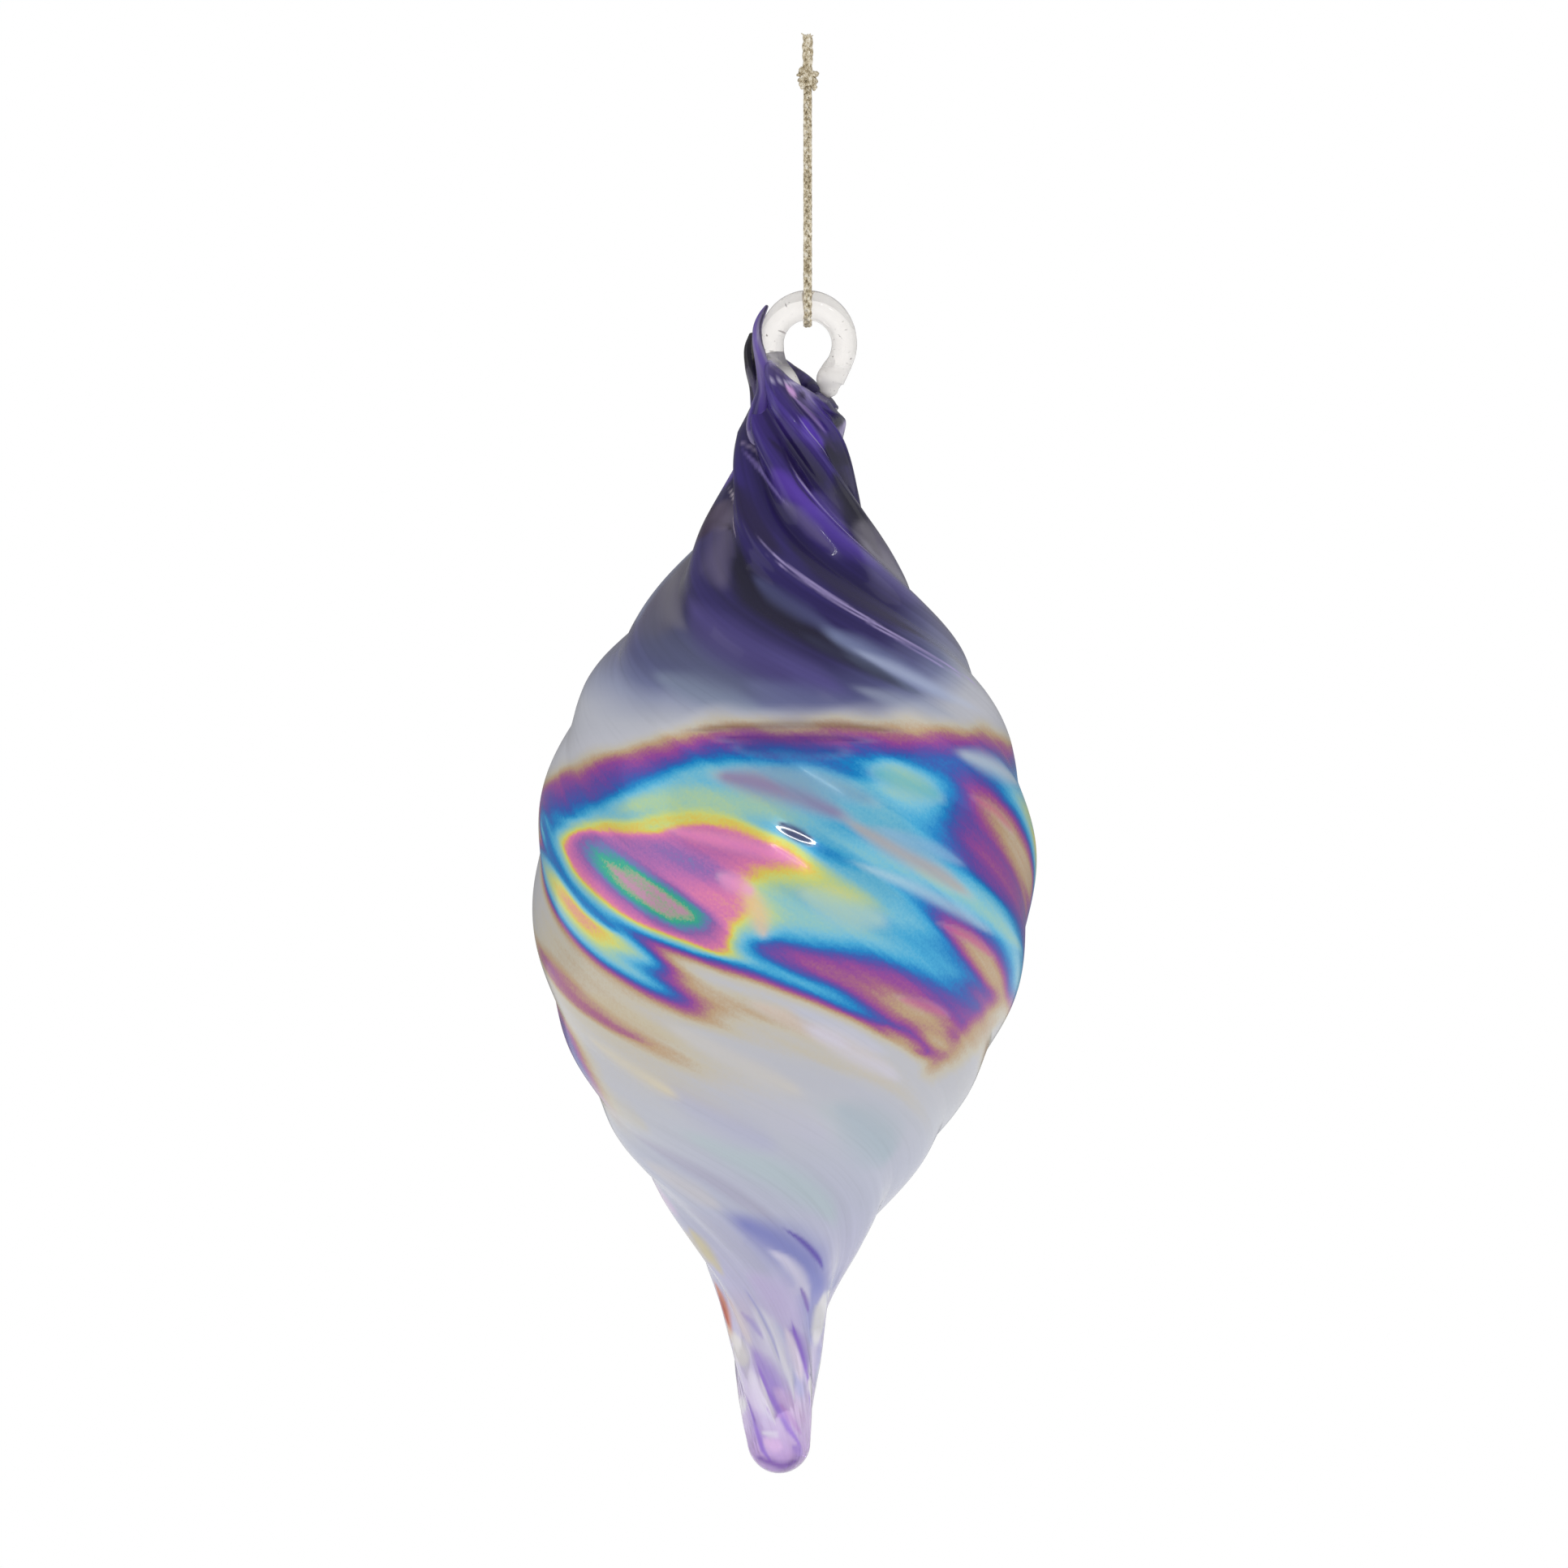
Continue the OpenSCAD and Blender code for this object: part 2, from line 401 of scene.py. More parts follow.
def make_cord(material):
    """The closed loop of cord."""
    centre = along_path(cord_route(), CORD_STEP)
    mesh = several_tubes("cord", plait(centre, (1, 0, 0)), YARN_SIDES)
    points = np.array([v.co for v in mesh.vertices])
    store(mesh, "gap_shade", gap_shade_values(points, centre, GAP_REACH))
    mesh.materials.append(material)
    cord = link_object("cord", mesh)
    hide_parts("cord_upper", "cord_lower")
    return cord, centre


KNOT_R = 0.92 * MM
KNOT_STEP = 0.14 * MM
KNOT_YARN = 0.95
FILAMENTS = 9
FILAMENT_R = 0.05 * MM


def knot_wraps():
    """Two turns round the strands, one lifting over the other, as an overhand knot shows."""
    angle = np.radians(np.linspace(-60, 690, 70))
    share = np.linspace(0, 1, 70)
    z = (0.75 + 1.75 * share + 0.28 * np.sin(angle + 0.6)) * MM
    r = KNOT_R * (1 + 0.04 * np.sin(2.5 * angle))
    wrap = np.stack([r * np.sin(angle), -r * np.cos(angle), z], 1)
    over = [
        (0.85, -0.55, 0.35), (0.72, -1.02, 0.95), (0.3, -1.18, 1.6), (-0.25, -1.05, 2.25),
        (-0.72, -0.6, 2.75),
    ]
    return [along_path(wrap, KNOT_STEP), along_path(np.array(over) * MM, KNOT_STEP)]


def knot_tails():
    """The two trimmed ends that leave the knot upwards, a little apart."""
    ends = []
    for side in (-1, 1):
        stops = [
            (0.05 * side, 0.45 * side, 0.3), (0.1 * side, 0.5 * side, 1.8), (0.12 * side, 0.72 * side, 3.3),
            (0.2 * side, 1.12 * side, 5.0), (0.12 * side, 1.62 * side, 6.75),
        ]
        ends.append(along_path(np.array(stops) * MM, KNOT_STEP))
    return ends


def loose_filaments(tip):
    """The loose filaments at one cut end, as tubes."""
    tubes = []
    for _ in range(FILAMENTS):
        lean = RANDOM.uniform(-0.34, 0.34, 2) * MM
        start = tip + np.array([lean[0], lean[1], -0.3 * MM])
        stops = [start, start + [lean[0] * 0.3, lean[1] * 0.3, 0.4 * MM]]
        stops.append(stops[1] + [lean[0] * 0.8, lean[1] * 0.8, RANDOM.uniform(0.2, 0.36) * MM])
        path = along_path(np.array(stops), 2 * FILAMENT_R)
        tubes.append(tube_points(path, FILAMENT_R, YARN_SIDES, (1, 0, 0)))
    return tubes


def make_knot(material):
    """The knot, with its tails and a few loose filaments at their cut ends."""
    tubes = []
    for path in knot_wraps():
        tubes += plait(path, (0, 0, 1), 0.3 * MM, KNOT_YARN)
    for path in knot_tails():
        tubes += plait(path, (1, 0, 0), 0.0, KNOT_YARN)
        tubes += loose_filaments(path[-1])
    mesh = several_tubes("knot", tubes, YARN_SIDES)
    store(mesh, "gap_shade", np.zeros(len(mesh.vertices)))
    mesh.materials.append(material)
    knot = link_object("cord_knot_tied", mesh)
    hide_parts("cord_knot")
    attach(knot, "cord_top")
    return knot


# ---------------------------------------------------------------- shape of the blown glass

TIP_Z = -175.3
TIP_R = 3.95
RIBS = 7
OUTLINE = [
    (TIP_R, TIP_R), (12, 5.0), (23.5, 7.5), (29, 10.4), (45, 21.7), (61.5, 29.6), (75, 31.6), (94, 27.9),
    (103, 23.1), (111, 16.8), (119, 10.9), (125, 7.8), (131, 6.4), (137, 5.9), (140, 5.2),
]
SWAY = [(0, -3.6), (16, -4), (47, -3.5), (76, -3), (111, -2.7), (131, -2), (139, -1.7)]
WALL = [
    (10, 3.0), (22, 3.4), (32, 2.6), (50, 1.7), (75, 1.3), (100, 1.9), (117, 3.8), (128, 4.4), (139, 3.2),
]
TWIST = [
    (0, 457), (27, 347), (60, 193), (79, 141), (95, 90), (113, 8), (120, -27), (127, -62), (133, -102),
    (140, -160),
]
DEPTH = [
    (0, 0), (4, 0.03), (14, 0.06), (27, 0.05), (45, 0.018), (75, 0.018), (100, 0.023), (115, 0.06),
    (124, 0.13), (133, 0.11), (140, 0.04),
]
# How strongly the fine drawn lines stand out of the skin, in millimetres
DRAWN_LINES = [
    (0, 0.0), (5, 0.05), (14, 0.07), (27, 0.04), (50, 0.012), (90, 0.012), (108, 0.04), (128, 0.09),
]
CAVITY_FLOOR = 7
MOUTH_H = 138.9
MOUTH_RISE = 0.7
MOUTH_TIP = 0.27
MOUTH_FROM = 130
MOUTH_FLAT = 3.2
PINCH = 0.24
PINCH_FROM = 132
PINCH_L = 4
COLUMNS = 252
SKIN_ROWS = 310


def mean_r(h):
    """Mean radius of the outer skin at a height."""
    h = np.asarray(h, float)
    tip = np.sqrt(np.maximum(0, 2 * TIP_R * h - h * h))
    return np.where(h < TIP_R, tip, smooth_at(OUTLINE, h))


def rib_shape(u):
    """A rib across its own width: round on its crest and tighter in the valley."""
    return 0.6 * np.cos(2 * math.pi * u) + 0.8 * (np.abs(np.cos(math.pi * u)) - 0.6366)


def drawn_lines(turned):
    """Fine lines that were drawn out along the ribs, round the skin."""
    t = np.radians(turned)
    lines = 0.4 * np.cos(19 * t + 0.4) + 0.3 * np.cos(31 * t + 1.9) + 0.3 * np.cos(43 * t + 4.0)
    return lines * (0.6 + 0.4 * np.cos(3 * t + 0.8))


def glass_points(h, in_by):
    """Rings of the blown glass: points in millimetres, their angle and their turn from one crest."""
    h, in_by = np.asarray(h, float)[:, None], np.asarray(in_by, float)[:, None]
    turned = np.arange(COLUMNS)[None, :] * 360 / COLUMNS
    angle = smooth_at(TWIST, h) + turned
    a = np.radians(angle)
    rib = 1 + smooth_at(DEPTH, h) * rib_shape(turned * RIBS / 360)
    left = np.maximum(0, -np.sin(a)) ** 2
    drawn = 1 - PINCH * left * np.clip((h - PINCH_FROM) / PINCH_L, 0, 1)
    skin = np.clip(1 - in_by / 0.5, 0, 1)
    r = mean_r(h) * rib * drawn + skin * smooth_at(DRAWN_LINES, h) * drawn_lines(turned)
    r = np.maximum(0.01, r - in_by)
    x, y = r * np.sin(a), -r * np.cos(a)
    top = np.clip((h - MOUTH_FROM) / (MOUTH_H - MOUTH_FROM), 0, 1)
    lift = top**2 * (MOUTH_TIP * y - MOUTH_RISE * np.maximum(x, -MOUTH_FLAT))
    points = np.stack([smooth_at(SWAY, h) + x, y, TIP_Z + h + lift], -1)
    return points, turn(angle), turned + 0 * angle


def glass_rings():
    """Heights, and depths under the skin, of every ring: up the skin, over the lip and down inside."""
    tip = TIP_R * (1 - np.cos(np.radians(np.linspace(8, 90, 12))))
    skin = np.linspace(TIP_R + 0.4, MOUTH_H - 0.5, SKIN_ROWS)
    lip = [
        (0, 0.1), (0.25, 0.3), (0.42, 0.6), (0.55, 0.95), (0.6, 1.4), (0.52, 1.85), (0.3, 2.25), (-0.1, 2.6),
        (-0.6, 2.85), (-1.3, 3.0), (-2.4, 3.1),
    ]
    inside = np.linspace(MOUTH_H - 4, CAVITY_FLOOR + 5, 56)
    s = np.array([0.85, 0.7, 0.5, 0.3, 0.12])
    floor = CAVITY_FLOOR + s * s * 4
    h = np.concatenate([tip, skin, [MOUTH_H + a for a, _ in lip], inside, floor])
    wall = smooth_at(WALL, inside)
    low = mean_r(CAVITY_FLOOR + 4) - s * 1.8
    in_by = np.concatenate([0 * tip, 0 * skin, [b for _, b in lip], wall, low])
    return h, in_by


# ---------------------------------------------------------------- colours of the blown glass

# Heights and colours up the front of the glass, under its streaks
GROUND = [
    (0, (118, 90, 148)), (2.5, (172, 142, 196)), (6, (204, 184, 222)), (14, (206, 198, 226)),
    (24, (196, 194, 222)), (34, (186, 189, 208)), (46, (190, 194, 207)), (60, (193, 195, 206)),
    (90, (188, 188, 196)), (95, (172, 174, 184)), (98, (138, 144, 168)), (100, (104, 110, 144)),
    (103, (74, 76, 118)), (108, (46, 40, 88)), (114, (38, 30, 82)), (120, (42, 31, 94)),
    (128, (46, 34, 98)), (134, (54, 37, 110)), (138, (60, 45, 116)), (141, (98, 86, 138)),
]
# How much higher the silver glass reaches round the neck: angle, millimetres
REACH = [
    (-180, 0), (-130, 2), (-90, 4), (-65, 2), (-45, 0), (-25, -0.6), (-5, -3), (15, -5), (35, -2), (55, 2.5),
    (70, 5.5), (90, 5), (130, 2), (180, 0),
]
# INK and DUSK serve mostly for painted dark reflections on the neck, LILAC for its painted highlight lines
INK = (24, 22, 42)
INDIGO = (44, 37, 86)
VIOLET = (84, 58, 160)
VIVID = (94, 61, 174)
LILAC = (168, 154, 204)
SMOKE = (84, 82, 92)
STEEL = (128, 140, 178)
PALE_STEEL = (176, 186, 210)
WINE = (52, 36, 56)
DUSK = (32, 26, 62)
# Painted reflections at the sides of the neck: pale low down, dark higher up
SIDE_REFLECTION_LOW = (112, 108, 124)
SIDE_REFLECTION_HIGH = (48, 46, 58)

# Streaks of the upper glass, partly its own violets and partly painted light: the near-black ones are painted
# dark reflections and the thin pale lines painted highlights. Each is (angle, height) points, half-width in
# mm, colour, strength, softness
UPPER_STREAKS = [
    ([(-72, 111), (-45, 105), (-20, 101.5), (0, 98.5)], 2.6, (84, 90, 112), 0.5, 0.9),
    ([(-100, 117), (-82, 114), (-62, 110), (-44, 106)], 3.0, (88, 84, 98), 0.6, 1.0),
    ([(-50, 111.4), (-30, 107.4), (-12, 104), (8, 100.6), (20, 98)], 1.9, (84, 74, 136), 0.6, 1.0),
    ([(-44, 101.6), (-22, 98.6), (-4, 96.4)], 1.4, (126, 138, 156), 0.5, 1.0),
    ([(-14, 100.6), (8, 97.6), (30, 95.8)], 1.5, (98, 102, 142), 0.6, 1.0),
    ([(18, 99.6), (38, 97), (56, 95.4)], 1.0, (150, 158, 178), 0.5, 1.0),
    # Painted dark reflections: near-black bands across the front of the neck
    ([(-38, 118.5), (-28, 115), (-15, 111.2), (0, 108.2), (15, 105), (28, 102), (40, 99)],
     1.5, INK, 0.88, 0.7),
    ([(-4, 119.5), (8, 117), (18, 114), (32, 110.6), (48, 107.6), (60, 105.5)], 1.2, DUSK, 0.85, 0.8),
    ([(-30, 120), (-10, 117.2), (5, 114.2), (18, 111.5)], 1.3, INDIGO, 0.6, 0.8),
    ([(-20, 114), (-5, 111.2), (8, 108.8), (22, 106)], 0.9, (76, 80, 120), 0.65, 0.95),
    ([(12, 107.4), (26, 104.4), (40, 101.2), (58, 97.6)], 1.3, STEEL, 0.62, 1.0),
    ([(22, 104.8), (36, 102), (52, 99), (70, 96.4)], 0.8, PALE_STEEL, 0.42, 1.0),
    ([(18, 104), (32, 101), (44, 98.4)], 0.7, (84, 94, 116), 0.6, 0.9),
    ([(-66, 126.5), (-45, 124), (-30, 121.5), (-15, 118.8), (0, 115.8)], 1.1, (36, 28, 62), 0.85, 0.8),
    ([(-92, 122.5), (-78, 120.6), (-64, 118.5)], 2.0, WINE, 0.75, 0.8),
    ([(-70, 123), (-54, 119.4), (-42, 115.6), (-26, 111.6)], 1.3, (116, 108, 130), 0.42, 1.0),
    ([(-22, 127.6), (-8, 125.8), (6, 124), (20, 122.6), (34, 120.6)], 1.4, VIVID, 0.6, 0.9),
    ([(2, 122.4), (25, 120.6), (42, 118.2), (60, 114)], 2.0, VIOLET, 0.65, 0.9),
    ([(-10, 123.6), (6, 121.6), (18, 119.2), (29, 116.6)], 0.7, (108, 100, 134), 0.5, 0.95),
    ([(8, 134), (22, 132.4), (36, 131), (50, 129.8)], 1.2, (98, 70, 186), 0.8, 0.8),
    ([(-10, 131.6), (8, 129.4), (24, 127.2), (40, 125)], 1.0, INK, 0.6, 0.9),
    ([(38, 125.4), (56, 122.4), (80, 119.8), (100, 117)], 1.8, (66, 64, 76), 0.7, 0.9),
    ([(60, 118.6), (80, 115.4), (100, 112)], 1.1, (150, 148, 160), 0.65, 0.95),
    ([(44, 131), (60, 129.2), (84, 128)], 1.1, INK, 0.7, 0.8),
    # Painted highlights: thin pale lines along the rib crests, here and in the lines below
    ([(-20, 119), (-10, 116.8), (0, 115), (12, 112.6), (25, 109.8), (40, 106.2), (55, 103), (70, 100.2),
      (84, 97.6)], 0.15, LILAC, 0.8, 0.8),
    ([(-12, 116.4), (0, 114.4), (12, 112.0), (25, 109.2), (40, 105.6), (55, 102.3), (70, 99.6)],
     0.12, LILAC, 0.7, 0.8),
    ([(-8, 129.6), (8, 126.2), (20, 124), (32, 121.8), (45, 119.2), (55, 117.2), (66, 114.6), (84, 110.6)],
     0.17, (172, 160, 206), 0.85, 0.8),
    ([(-6, 128.6), (8, 125.2), (20, 123), (32, 120.8)], 0.18, (34, 26, 70), 0.8, 0.8),
    ([(4, 134.2), (20, 131.8), (35, 130), (50, 128.2), (66, 126.4), (86, 125)],
     0.16, (168, 160, 200), 0.85, 0.8),
    ([(-50, 128), (-30, 126.2), (-14, 124.4), (-4, 122.8)], 0.16, (118, 106, 168), 0.7, 0.8),
    ([(-80, 131), (-60, 130), (-40, 128.6)], 0.14, (140, 126, 160), 0.5, 0.9),
    ([(-70, 130), (-40, 127.4), (-20, 125), (3, 122)], 0.22, (118, 102, 168), 0.65, 0.9),
    ([(-30, 131.6), (-10, 129.6), (12, 126.2), (36, 122)], 0.34, (32, 23, 60), 0.8, 0.9),
    ([(0, 136), (24, 133.6), (48, 131), (66, 129.2)], 0.26, (52, 40, 88), 0.75, 0.9),
    ([(-4, 136.8), (20, 134.4), (46, 131.8)], 0.18, (156, 130, 196), 0.6, 0.9),
    # Painted highlight, pink, and beside it a painted dark reflection, on the front of the mouth
    ([(-12, 138), (-4, 137.2), (3, 136.3)], 0.36, (206, 160, 216), 0.9, 0.7),
    ([(6, 137.2), (15, 136.2)], 0.45, (38, 30, 58), 0.85, 0.8),
    ([(-46, 137.6), (-30, 135.8), (-16, 133.6)], 0.7, (84, 74, 142), 0.5, 0.9),
    # Painted highlight: a thin pale line along the front of the lip
    ([(-70, 138.7), (-30, 138.4), (0, 138.2), (30, 138.2), (70, 138.3)], 0.2, (178, 170, 200), 0.7, 0.8),
    # Painted dark reflection down the right of the neck
    ([(40, 127), (50, 125), (64, 120.4), (78, 115.4)], 1.0, (36, 36, 44), 0.8, 0.9),
    # Painted highlight line on the left of the neck, and a dark line under it
    ([(-90, 125), (-66, 122.9), (-50, 120.6), (-38, 118.4)], 0.17, (186, 174, 186), 0.85, 0.8),
    ([(-78, 120.6), (-58, 120.2), (-44, 118.9)], 0.2, (36, 28, 48), 0.8, 0.8),
    ([(-92, 115), (-72, 112), (-54, 109), (-38, 106.4)], 0.9, (116, 113, 122), 0.4, 1.0),
    ([(20, 124.8), (36, 122.2), (52, 119)], 1.3, (94, 78, 158), 0.55, 0.95),
    ([(44, 117.2), (58, 113.8), (76, 110)], 1.8, (102, 96, 148), 0.6, 0.95),
    ([(58, 121), (72, 117.8), (90, 114.4)], 1.8, (124, 120, 132), 0.6, 0.95),
    ([(-84, 123.4), (-66, 121.4), (-54, 119.2)], 1.1, (104, 94, 112), 0.5, 0.95),
    ([(-44, 108.6), (-26, 105.4), (-10, 102.6), (6, 99.8)], 1.5, (66, 58, 108), 0.6, 1.0),
    ([(4, 106.8), (16, 104.2), (28, 101.6), (38, 99.4)], 0.9, (44, 46, 74), 0.6, 1.0),
]

# Streaks of the pearly lower glass and the tail, in the same terms; the white patches at the tail's sides and
# a few thin white lines on it are painted highlights
LOWER_STREAKS = [
    ([(-40, 44), (-20, 41), (0, 38), (20, 35), (44, 31)], 1.6, (178, 196, 200), 0.65, 0.9),
    ([(10, 47), (28, 45), (46, 42)], 1.8, (176, 194, 202), 0.6, 0.9),
    ([(-30, 52), (-5, 47), (20, 42)], 2.2, (192, 190, 214), 0.5, 0.9),
    ([(-70, 44), (-50, 40.6), (-32, 37.6), (-15, 34.4), (5, 31.4)], 1.1, (172, 170, 194), 0.75, 0.9),
    ([(-60, 34.6), (-40, 31), (-20, 27.6), (0, 24.4)], 1.3, (172, 172, 196), 0.6, 0.9),
    ([(-70, 40), (-48, 36.4), (-30, 33.4)], 1.2, (206, 202, 204), 0.6, 0.9),
    ([(-78, 50), (-62, 46.5), (-50, 43.6)], 1.6, (204, 194, 158), 0.55, 0.9),
    ([(-88, 30.5), (-70, 28.6), (-56, 26.8)], 1.5, (204, 194, 160), 0.6, 0.9),
    ([(-30, 26), (-5, 23), (15, 20), (30, 17.6)], 2.0, (196, 184, 222), 0.8, 0.9),
    ([(-34, 33.4), (-14, 31), (5, 29), (22, 27), (38, 24.6), (56, 21.6)], 2.2, (126, 130, 190), 0.95, 1.0),
    ([(26, 26), (40, 22.6), (48, 19.4), (56, 15.6)], 1.5, (142, 146, 204), 0.75, 1.0),
    ([(50, 24.4), (70, 24), (90, 23.6)], 1.6, (152, 156, 200), 0.8, 0.9),
    ([(2, 31.5), (14, 30.1), (26, 28.4), (34, 27.2), (42, 25.8)], 0.34, (84, 68, 160), 0.9, 0.8),
    ([(-8, 28.6), (6, 27.2), (18, 25.6), (30, 23.6), (42, 21)], 0.7, (228, 224, 242), 0.8, 0.9),
    ([(24, 23.8), (34, 22.2), (44, 20.2)], 0.3, (112, 88, 166), 0.85, 0.8),
    ([(66, 19), (80, 18.6), (92, 18)], 1.3, (166, 166, 206), 0.85, 0.8),
    # Painted highlights: white at the right side of the tail
    ([(54, 23.4), (58, 21), (62, 18.4), (67, 16)], 1.0, (250, 249, 248), 0.95, 0.5),
    ([(56, 23.3), (72, 22.2), (92, 21.4)], 0.4, (248, 246, 246), 0.95, 0.6),
    ([(-4, 19.6), (10, 16.8), (22, 14.2), (34, 11.6), (48, 9)], 1.0, (156, 162, 208), 0.85, 0.9),
    ([(14, 19), (26, 16.8), (36, 14.6), (46, 12.4)], 1.3, (132, 110, 184), 0.95, 0.8),
    ([(10, 18.8), (20, 16.4), (30, 13.8), (40, 11.4)], 0.6, (244, 230, 244), 0.9, 0.8),
    ([(-28, 21.8), (-12, 19), (2, 16.2), (14, 13.6), (26, 11.2)], 1.1, (240, 240, 250), 0.9, 0.9),
    ([(-44, 20.9), (-28, 19.3), (-14, 17)], 0.34, (158, 148, 204), 0.8, 0.8),
    ([(-38, 16.8), (-22, 14), (-10, 11.6), (2, 9.6), (14, 7.2)], 1.5, (138, 116, 188), 0.95, 0.9),
    ([(-6, 11.2), (12, 9.6), (34, 7.6), (60, 6.4)], 1.0, (206, 176, 218), 0.75, 0.9),
    ([(-2, 9.4), (16, 7.6), (34, 6), (52, 5)], 0.5, (156, 112, 178), 0.8, 0.9),
    ([(-50, 14), (-34, 11.4), (-18, 8.6), (-4, 6.4)], 0.8, (236, 228, 246), 0.85, 0.9),
    ([(-64, 11), (-48, 7.4), (-38, 4.8), (-28, 2.8)], 1.0, (132, 104, 178), 0.95, 0.8),
    ([(-30, 4.4), (-10, 3.8), (10, 3.4)], 0.8, (224, 184, 228), 0.9, 0.8),
    ([(-32, 5.4), (-12, 5.2), (6, 4.9)], 0.3, (242, 234, 248), 0.85, 0.8),
    ([(24, 3.6), (40, 2.9), (58, 2.2)], 0.7, (112, 88, 162), 0.9, 0.8),
    ([(16, 20), (24, 17.5), (36, 14.8), (48, 12.2), (66, 6.9)], 0.3, (104, 76, 168), 0.95, 0.8),
    ([(-31, 14.9), (-14, 10.2), (18, 5.6), (56, 2.6)], 0.42, (116, 86, 180), 0.95, 0.8),
    ([(-50, 9.5), (-44, 6.3), (-32, 3), (-14, 1.1)], 0.4, (92, 66, 156), 0.95, 0.8),
    # Painted highlight: a thin white line across the front of the tail
    ([(-14, 18.8), (6, 15.2), (21, 12.2), (32, 8.9)], 0.32, (250, 250, 254), 0.95, 0.8),
    ([(-36, 24), (-20, 20.6), (-4, 17), (8, 13.6)], 0.2, (150, 150, 200), 0.8, 0.8),
    ([(-24, 9), (-6, 7), (12, 7.6), (28, 5)], 0.2, (146, 106, 186), 0.8, 0.8),
    ([(-28, 12.6), (-16, 9.2), (-4, 6.2)], 0.24, (252, 246, 252), 0.85, 0.8),
    ([(-70, 2.6), (-30, 1.5), (0, 1.1), (30, 1.2), (66, 2.2)], 0.6, (58, 34, 98), 1.0, 0.9),
    ([(42, 13.1), (56, 12.6), (70, 12), (92, 11.2)], 0.24, (112, 104, 136), 0.85, 0.8),
    # Painted highlight: white at the right side of the tail
    ([(50, 12.1), (58, 11.3), (68, 10.2), (80, 8.8)], 0.8, (252, 250, 248), 0.95, 0.6),
    ([(-72, 31.4), (-62, 28.4), (-50, 24.8)], 0.8, (208, 198, 160), 0.75, 0.9),
    ([(-74, 24), (-58, 21.2), (-44, 18.6), (-32, 16.2)], 1.0, (230, 216, 218), 0.8, 0.9),
    ([(-92, 24.6), (-80, 21.6), (-68, 17)], 0.75, (190, 104, 72), 0.95, 0.8),
    ([(-88, 23), (-80, 20.8), (-72, 18.6)], 0.3, (150, 56, 44), 0.9, 0.8),
    ([(-92, 18.2), (-74, 17.8), (-58, 16)], 0.6, (234, 204, 178), 0.85, 0.9),
    # Painted highlight: white at the left side of the tail
    ([(-68, 18), (-57, 15.4), (-45, 13.4)], 1.1, (250, 246, 240), 0.95, 0.7),
    ([(-92, 13.4), (-74, 13.6), (-58, 12.6)], 0.3, (164, 164, 176), 0.8, 0.8),
    # Painted highlight: white at the left side of the tail
    ([(-94, 9), (-78, 8.6), (-66, 8.2)], 1.1, (250, 249, 249), 0.9, 0.7),
]


def streak_share(angle, h, points, width, soft):
    """1 on the line through the points, 0 further from it than its half-width, thinner at its ends."""
    near = np.full(angle.shape, 1e9)
    share = np.zeros(angle.shape)
    count = len(points) - 1
    for k, ((a0, h0), (a1, h1)) in enumerate(zip(points, points[1:])):
        per_degree = float(mean_r((h0 + h1) / 2)) * math.pi / 180
        dx, dh = (a1 - a0) * per_degree, h1 - h0
        x, y = turn(angle - a0) * per_degree, h - h0
        t = np.clip((x * dx + y * dh) / (dx * dx + dh * dh), 0, 1)
        away = np.hypot(x - t * dx, y - t * dh)
        closer = away < near
        near = np.where(closer, away, near)
        share = np.where(closer, (k + t) / count, share)
    taper = ease(0, 0.4, share) * ease(0, 0.4, 1 - share)
    width = width * (0.35 + 0.65 * taper)
    line = 1 - ease(width * (1 - soft), width * (1 + soft), near)
    return line * ease(-0.02, 0.16, share) * ease(-0.02, 0.16, 1 - share)


def invented_streaks(heights, colours, count, width, lean):
    """Streaks along the ribs for the sides and back, which continue the front's."""
    made = []
    for k in range(count):
        h = RANDOM.uniform(*heights)
        a = 95 + 170 * (k + RANDOM.uniform(0, 1)) / count
        reach = RANDOM.uniform(12, 30)
        points = [(a + s * reach, h - s * reach * lean) for s in (-1, -0.4, 0.3, 1)]
        colour = colours[int(RANDOM.integers(len(colours)))]
        made.append((points, RANDOM.uniform(*width), colour, RANDOM.uniform(0.5, 0.85), 0.85))
    return made


FINE_LINES = [(7, 1.0, 0.3), (16, -2.0, 1.1), (29, 3.0, 2.9), (47, -4.0, 4.4), (83, 6.0, 0.9)]


def fine_lines(turned, h):
    """Light and dark lines drawn out along the ribs, within about 2 of 0."""
    t = np.radians(turned)
    drift = np.radians(h)
    total = 0
    for lines, pull, phase in FINE_LINES:
        total = total + np.cos(lines * t + pull * drift + phase) / 2.2
    return total


# How much the neck's rib crests are painted lighter, as highlight, and their valleys darker, as shade
CREST_HIGHLIGHT = 0.30
VALLEY_SHADE = 0.42
VEIL_SPREAD = 1.6
NECK_TINTS = [INK, INDIGO, VIOLET, VIVID, SMOKE, STEEL, LILAC, DUSK]
TAIL_TINTS = [(148, 128, 184), (178, 196, 200), (226, 200, 230), (240, 238, 248), (134, 136, 188)]


def all_streaks():
    """Every streak in the order it is laid: the invented back first, then the front and the veils."""
    back = invented_streaks((99, 134), NECK_TINTS, 64, (0.3, 1.6), 0.24)
    back += invented_streaks((4, 42), TAIL_TINTS, 44, (0.4, 1.4), 0.16)
    veils = [(points, width * VEIL_SPREAD, tint, 1.0, soft) for points, width, tint, _, soft in VEILS]
    return back + UPPER_STREAKS + LOWER_STREAKS + veils


def rib_highlight_and_shade(turned, h):
    """Painted highlight on the neck's rib crests and painted shade in their valleys, as a factor."""
    across = turned * RIBS / 360
    crest = 1 - ease(0.03, 0.16, np.abs((across + 0.5) % 1.0 - 0.5))
    valley = 1 - ease(0.06, 0.30, np.abs(across % 1.0 - 0.5))
    return 1 + ease(104, 116, h) * (CREST_HIGHLIGHT * crest - VALLEY_SHADE * valley)


